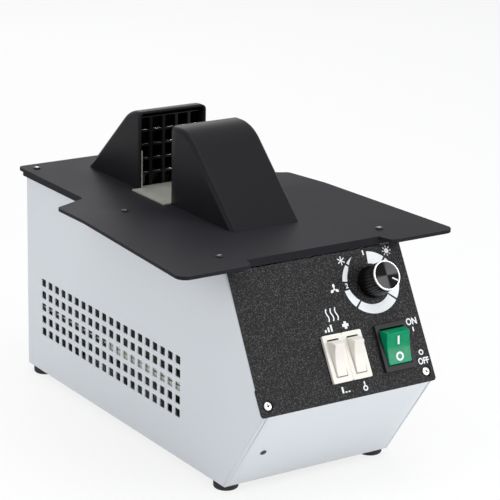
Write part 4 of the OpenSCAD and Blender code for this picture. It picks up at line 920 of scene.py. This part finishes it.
skirt_in = half_w + seam_mm
skirt_out, skirt_y, skirt_soft = skirt_in + skirt_mm, notch_y + 1.6, 0.3
front_bar_mm = 3.0
skirt_outline = [(-skirt_out, skirt_y), (-skirt_in, skirt_y), (-skirt_in, body_l + seam_mm),
                 (skirt_in, body_l + seam_mm), (skirt_in, skirt_y), (skirt_out, skirt_y),
                 (skirt_out, tray_rear - 0.1), (-skirt_out, tray_rear - 0.1)]
skirt_radii = [skirt_soft] * 6 + [2, 2]
fit("tray_skirt", cut_plate(rounded(skirt_outline, skirt_radii), [], body_h - skirt_bottom, skirt_soft),
    at(0, 0, skirt_bottom), satin_black)
front_bar = rectangle(2 * skirt_out, skirt_mm, 0.2, (0, notch_y + 0.1 + skirt_mm / 2))
fit("tray_front_bar", cut_plate(front_bar, [], front_bar_mm, skirt_soft),
    at(0, 0, body_h - front_bar_mm), satin_black)

# ---- Hoods ----------------------------------------------------------------------------
# Two pressed steel hoods, rounded on every outer edge and open towards each other and down
# into the tray. Screws from below hold them.

# The same satin powder coat, a little smoother over the pressed curves, so that the crowns
# carry a soft highlight.
hood_black, tree, shader = new_finish("satin_coat_black_smooth", "#1b1a1d", 0.45, Specular_IOR_Level=0.08)
surface_detail(tree, shader, tooth_mm, 3.0, relief=(0.12, 0.1))
surface_detail(tree, shader, cloud_mm, 4.0, gloss=(0.34, 0.46))

hood_half = front_high[0] * 1000
hood_h = (front_high[2] - front_low[2]) * 1000
hood_slope = radians(43)
hood_round, lip_round, edge_round, hood_wall = 32.0, 3.0, 3.6, 1.6


def hood_shell(depth):
    """A hood with its open face at y = 0 and its toe at y = depth."""
    flat = depth - hood_h / tan(hood_slope)
    crown_round = min(hood_round, (flat - lip_round) / tan(hood_slope / 2))
    profile = rounded([(0, hood_h), (flat, hood_h), (depth, 0)], [0, crown_round, 0], 16, closed=False)
    levels = quarter_round(edge_round, 6)
    bm = bmesh.new()

    def row(back_in, x):
        """The profile moved inwards, at one place across."""
        points = []
        for i, p in enumerate(profile[:-1]):
            along = (profile[i + 1] - profile[max(i - 1, 0)]).normalized()
            points.append(p + Vector((along.y, -along.x)) * back_in)
        points.append(Vector((profile[-1].x - back_in / sin(hood_slope), 0)))
        return [bm.verts.new((x, p.x, p.y)) for p in points]

    for side in (-1, 1):
        rows = [row(back_in, side * (hood_half - depth_in)) for back_in, depth_in in levels]
        for first, second in zip(rows, rows[1:]):
            bridge(bm, first, second, closed=False)
        foot = [bm.verts.new((v.co.x, v.co.y, 0.0)) for v in rows[0][:-1]]
        edge = rows[0]
        for i in range(len(foot) - 1):
            bm.faces.new((edge[i], edge[i + 1], foot[i + 1], foot[i]))
        bm.faces.new((edge[-2], edge[-1], foot[-1]))
        if side == -1:
            crown = rows[-1]
    bridge(bm, crown, rows[-1], closed=False)
    return bm


hood_lift = 0.1
front_place = at(0, front_face, tray_top + hood_lift) @ Matrix.Diagonal((1, -1, 1, 1))
back_place = at(0, rear_face, tray_top + hood_lift)
for name, place, low, high in (("front_hood", front_place, front_low, front_high),
                               ("rear_hood", back_place, rear_low, rear_high)):
    fit(name + "_shell", hood_shell((high[1] - low[1]) * 1000), place, hood_black, [name],
        sheet=hood_wall, sharp=50)

# ---- Grilles --------------------------------------------------------------------------
# Each grille is a deep moulded grid, set 4 mm back inside its hood. A thin bright zinc strip on
# every level bar is a painted highlight: the glint of light along the top of the bar.

# Heat-proof moulding: dead black with a faint texture, so the grid reads as a dark lattice.
grille_black, tree, shader = new_finish("heat_proof_moulding_black", "#09090a", 0.4, Specular_IOR_Level=0.15)
surface_detail(tree, shader, mould_mm, 2.0, relief=(0.1, 0.1))

# Bright zinc plating: silvery and sharp, with small scuffs from handling and the driver.
bright_zinc, tree, shader = new_finish("zinc_plate_bright", "#e3e3e1", 0.2, Metallic=1.0)
scuff_mm = 0.7
surface_detail(tree, shader, scuff_mm, 2.0, gloss=(0.12, 0.34))

grille_half = hood_half - hood_wall - 0.1
grille_h, grille_t, grille_back, edge_bar = 51.6, 6.0, 4.0, 0.8
bar_w, bar_h, columns, levels_up = 2.6, 1.8, 5, 5
open_w = (2 * grille_half - 2 * edge_bar - (columns - 1) * bar_w) / columns
open_h = (grille_h - 2 * edge_bar - (levels_up - 1) * bar_h) / levels_up
shine_w, shine_d, shine_t, shine_sink = open_w * 0.62, 1.3, 0.15, 0.05
column_xs = [-grille_half + edge_bar + open_w / 2 + c * (open_w + bar_w) for c in range(columns)]
cells = [rectangle(open_w, open_h, 0.5, (x, edge_bar + open_h / 2 + r * (open_h + bar_h)), 2)
         for x in column_xs for r in range(levels_up)]
upright = Matrix(((1, 0, 0, 0), (0, 0, -1, 0), (0, 1, 0, 0), (0, 0, 0, 1)))
grid_outline = [(-grille_half, 0.2), (grille_half, 0.2), (grille_half, grille_h), (-grille_half, grille_h)]
glint_places = [Matrix.Translation((x, grille_back + shine_d, edge_bar + (r + 1) * (open_h + bar_h) - shine_sink))
          for x in column_xs for r in range(levels_up - 1)]
for name, place in (("front_grille", front_place), ("rear_grille", back_place)):
    fit(name + "_grid", cut_plate(grid_outline, cells, grille_t, 0.3),
        place @ Matrix.Translation((0, grille_back + grille_t, 0)) @ upright, grille_black,
        [name])
    # The strips are painted highlights, for the glints along the tops of the level bars.
    strip = cut_plate(rectangle(shine_w, 2 * shine_d, 0.3), [], shine_t, 0.05)
    fit(name + "_bar_top_glints", copies(strip, glint_places), place, bright_zinc)

# ---- Floor between the hoods ----------------------------------------------------------
# A bright tray of plated sheet that closes the gap, with lugs that stand inside the mouths of
# the hoods. The deck, ducts and blower below it are made from the same sheet.

# Dull zinc plating on rolled steel: greenish grey, with a grain along the sheet and large,
# faint spangles. The real grain is finer than the 1.2 mm drawn.
zinc_plate, tree, shader = new_finish("zinc_plated_steel", "#b4b5ab", 0.5, Metallic=0.6)
spot = add_node(tree, "TexCoord", {})
rolled_mm, spangle_mm = 1.2, 14
stretch = add_node(tree, "Mapping", {"Scale": (1.0, 0.08, 1.0)}, [("Vector", spot, "Object")])
rolled = add_node(tree, "TexNoise", {"Scale": 1000 / rolled_mm, "Detail": 3.0},
                  [("Vector", stretch, 0)])
sheen = add_node(tree, "MapRange", {3: 0.4, 4: 0.6}, [(0, rolled, 0)])
tree.links.new(sheen.outputs[0], shader.inputs["Roughness"])
surface_detail(tree, shader, spangle_mm, 2.0, tones=("#a3a49a", "#c6c7be"))

dress(zinc_plate, "gap_floor", "deck", "heater_box", "plenum", "blower_housing", "blower_cover",
      "dial_control", "control_shaft", "control_nut", "motor_case", "motor_end", "motor_rotor")

# ---- Deck edges -----------------------------------------------------------------------
# The folded edges of the plated deck show as two bright lines through the front ten columns
# of vents. They are strips of the same sheet, just inside each side panel.

rail_mm, rail_back = 0.35, sheet_mm + 0.1
rail_from, rail_to = vent_first.x - 19.6 * vent_pitch.x, vent_first.x - 9.6 * vent_pitch.x
vent_mid = vent_first.y + 2 * vent_pitch.y
for level, low, high in (("lower", vent_mid - 5.5, vent_mid - 0.1),
                         ("upper", vent_mid + 0.8, vent_mid + 5.0)):
    rail_outline = [(rail_from, low), (rail_to, low), (rail_to, high), (rail_from, high)]
    for side, hand in hands:
        rail = cut_plate(rail_outline, [], rail_mm, 0.1)
        fit("deck_rail_" + level + "_" + side, rail,
            hand @ side_place @ Matrix.Translation((0, 0, -rail_back - rail_mm)), zinc_plate)

# ---- Screws ---------------------------------------------------------------------------
# Tapping screws with a cross recess. The two of the panel and the four of the rear are bright;
# the six of the tray are low and blackened, with a bright cross in each recess as a painted glint.
# A dark cross in the recess of each panel screw is painted shade.

# Black oxide on steel: a thin dark skin with a metal gloss that comes and goes.
blackened, tree, shader = new_finish("black_oxide_steel", "#242427", 0.32, Metallic=0.8)
oxide_mm = 0.8
surface_detail(tree, shader, oxide_mm, 2.0, gloss=(0.22, 0.42))


def screw(head_r, head_h, length, shank_r=1.4):
    """A screw with the underside of its head at z = 0, pointing down."""
    bm = bmesh.new()
    turnings = [(shank_r * 0.2, -length), (shank_r, -length + shank_r), (shank_r, 0), (head_r, 0),
                (head_r, head_h * 0.35), (head_r * 0.97, head_h * 0.6), (head_r * 0.86, head_h * 0.85),
                (head_r * 0.66, head_h)]
    rows = [add_loop(bm, circle(r, steps=32), z) for r, z in turnings]
    for lower, upper in zip(rows, rows[1:]):
        bridge(bm, lower, upper)
    fill(bm, [rows[0]])
    cross = cross_outline(head_r * 0.15, head_r * 0.52)
    rim = add_loop(bm, cross, head_h)
    pit = add_loop(bm, [p * 0.55 for p in cross], -head_h * 0.3)
    fill(bm, [rows[-1], rim])
    bridge(bm, pit, rim)
    fill(bm, [pit])
    return bm


def recess_cross(head_r, head_h):
    """A thin cross on the floor of the cross recess, to paint a glint or shade there: bright on the tray
    screws, dark on the panel screws.
    """
    bm = cut_plate(cross_outline(head_r * 0.13, head_r * 0.48), [], 0.12, 0.0)
    bmesh.ops.translate(bm, vec=(0, 0, head_h - 0.14), verts=bm.verts)
    return bm


def turned(k):
    """Screws never stop at the same angle."""
    return Matrix.Rotation(0.55 + 1.9 * k, 4, "Z")


spots = [Matrix.Translation((s * tray_screw_x, y, tray_top)) @ turned(k)
         for k, (s, y) in enumerate((s, y) for s in (-1, 1) for y in tray_screw_ys)]
fit("tray_screw_heads", copies(screw(2.7, 1.1, 7), spots), cabinet, blackened, ["tray_screws"])
# Painted highlight: a bright cross in each recess, for the glints there.
fit("tray_screw_painted_glint", copies(recess_cross(2.7, 1.2), spots), cabinet, bright_zinc)
panel_screw_sink = 0.8
spots = [Matrix.Translation((s * panel_screw_u, panel_screw_v, -panel_screw_sink)) @ turned(s)
         for s in (-1, 1)]
fit("panel_screw_heads", copies(screw(2.9, 1.2, 6), spots), panel, bright_zinc,
    ["panel_screws"])
# Painted shade: a dark cross in each recess, for the shade inside it.
fit("panel_screw_painted_shade", copies(recess_cross(3.2, 1.3), spots), panel, blackened)
out_back = Matrix.Rotation(-pi / 2, 4, "X")
spots = [Matrix.Translation((s * rear_screw_x, body_l + 0.1, z)) @ out_back @ turned(s + z)
         for s in (-1, 1) for z in rear_screw_zs]
fit("rear_screw_heads", copies(screw(3.0, 1.6, 6), spots), cabinet, bright_zinc,
    ["rear_screws"])
dress(bright_zinc, "foot_screws", "base_screws", "deck_screws", "motor_screws", "inlet_screws", "inlet_pins")
dress(blackened, "hood_screws", "plenum_screws", "chin_stud")

# ---- Feet -----------------------------------------------------------------------------
# Round rubber feet under the corners of the base, moulded with a soft edge and a deep well
# for the screw that holds each one.

# Moulded rubber: black turning grey, quite matt, with a grain that scatters the light.
rubber, tree, shader = new_finish("moulded_rubber_black", "#161616", 0.75)
surface_detail(tree, shader, mould_mm, 3.0, relief=(0.3, 0.1))
foot_h, foot_r = base_z * 1000, 8.5
foot_x = half_w - foot_r - 0.4
foot_ys = (chin_low.x + foot_r + 1.5, body_l - foot_r - 3)
well_r, well_top, screw_r = 3.4, -1.5, 1.6
foot_profile = [(screw_r, -0.1), (foot_r, -0.1), (foot_r, -foot_h + 1.2), (foot_r - 0.3, -foot_h + 0.5),
                (foot_r - 0.9, -foot_h), (well_r + 0.6, -foot_h), (well_r + 0.1, -foot_h + 0.4),
                (well_r, well_top), (screw_r, well_top), (screw_r, -0.1)]
spots = [Matrix.Translation((s * foot_x, y, 0)) for s in (-1, 1) for y in foot_ys]
fit("rubber_feet", copies(lathe(foot_profile), spots), cabinet, rubber, ["feet"])

# ---- Mains inlet and fuse -------------------------------------------------------------
# A black nylon appliance inlet and a fuse drawer beside it. Both are clamped in the rear
# sheet: the inlet by two sunk screws, the drawer by a nut behind.

dress(black_nylon, "fuse_holder", "fuse_cap", "board_parts")
flange = rectangle(inlet_w, inlet_h, 4, steps=6)
socket_x, socket_z, socket_corner, inlet_flange_mm = socket_w / 2, socket_h / 2, 4.5, 1.8
socket = rounded([(-socket_x, -socket_z), (socket_x, -socket_z), (socket_x, socket_z - socket_corner),
                  (socket_x - socket_corner, socket_z), (-socket_x + socket_corner, socket_z),
                  (-socket_x, socket_z - socket_corner)], [1.2] * 6)
sink_r, socket_deep, inlet_deep = 2.8, 14.2, 16.6
sinks = [circle(sink_r, (s * inlet_screw_x, 0), 28) for s in (-1, 1)]
bm = cut_plate(flange, [socket] + sinks, inlet_flange_mm, 0.5, 3)
tub(bm, socket, 1.0, -socket_deep)
tub(bm, rectangle(socket_w + 4, socket_h + 4, 2.6, steps=5), 0.05, -inlet_deep)
fit("inlet_socket", bm, at(0, body_l + 0.1, inlet_z) @ facing_back, black_nylon,
    ["mains_inlet"])

# ---- Inside ---------------------------------------------------------------------------
# What the vents and mouths show: the fan, heater, board and wiring keep their own shapes, and
# take the finish of their real materials.

# Enamelled copper windings: orange brown and glossy, ribbed by the strands.
copper, tree, shader = new_finish("enamelled_copper", "#a4572c", 0.35, Metallic=0.9)
spot = add_node(tree, "TexCoord", {})
strand_mm = 0.6
strands = add_node(tree, "TexWave", {"Scale": 1000 / strand_mm / 6.3}, [("Vector", spot, "Object")])
strand_bump = add_node(tree, "Bump", {"Strength": 0.5, "Distance": 0.0002}, [("Height", strands, 0)])
tree.links.new(strand_bump.outputs[0], shader.inputs["Normal"])
dress(copper, "motor_stator")
dress(ivory_abs, "terminal_block", "board_posts")

for node, name, light, dark, roughness, speck_mm, sockets in (
        # Stamped brass: warm and bright, browned where it was handled.
        ("switch_blades", "bare_brass", "#c9a04e", "#9a7632", 0.3, 2.0, {"Metallic": 1.0}),
        # Sintered bronze: a dull brown metal with dark pores that hold the oil.
        ("motor_bearings", "sintered_bronze", "#9a7446", "#6c4c2a", 0.5, 0.5, {"Metallic": 0.9}),
        # Glass-filled nylon: off-white and matt, with the cloudiness of its fibres.
        ("fan_wheel", "glass_filled_nylon_white", "#cfcfca", "#b9b9b2", 0.5, 1.5, {}),
        # Pressed mica board: straw to brown flakes with a dull shine.
        ("heater_frames", "mica_board", "#b9a884", "#8f7d58", 0.55, 3.0, {}),
        # Oxidised heating wire: grey-brown scale on metal.
        ("heater_coils", "oxidised_heating_wire", "#6e6458", "#443c34", 0.5, 1.0, {"Metallic": 0.9}),
        # Glazed ceramic: buff and glassy, paler where the glaze is thin.
        ("thermal_cutout", "glazed_ceramic", "#cbb895", "#b09a74", 0.35, 2.0, {}),
        # Glass-fibre board with green solder resist over its weave.
        ("circuit_board", "glass_fibre_board_green", "#1c5b33", "#12431f", 0.4, 1.2, {}),
        # PVC insulation: red and waxy, darker in the bends.
        ("wiring", "wire_insulation_red", "#a02222", "#7c1616", 0.45, 2.0, {}),
        # Soda glass: clear and shiny, with a cold tint.
        ("fuse", "soda_glass", "#e6eef0", "#d6e0e3", 0.08, 4.0, {"Transmission_Weight": 0.9})):
    finish, tree, shader = new_finish(name, light, roughness, **sockets)
    surface_detail(tree, shader, speck_mm, 3.0, relief=(0.15, 0.1), tones=(dark, light))
    dress(finish, node)
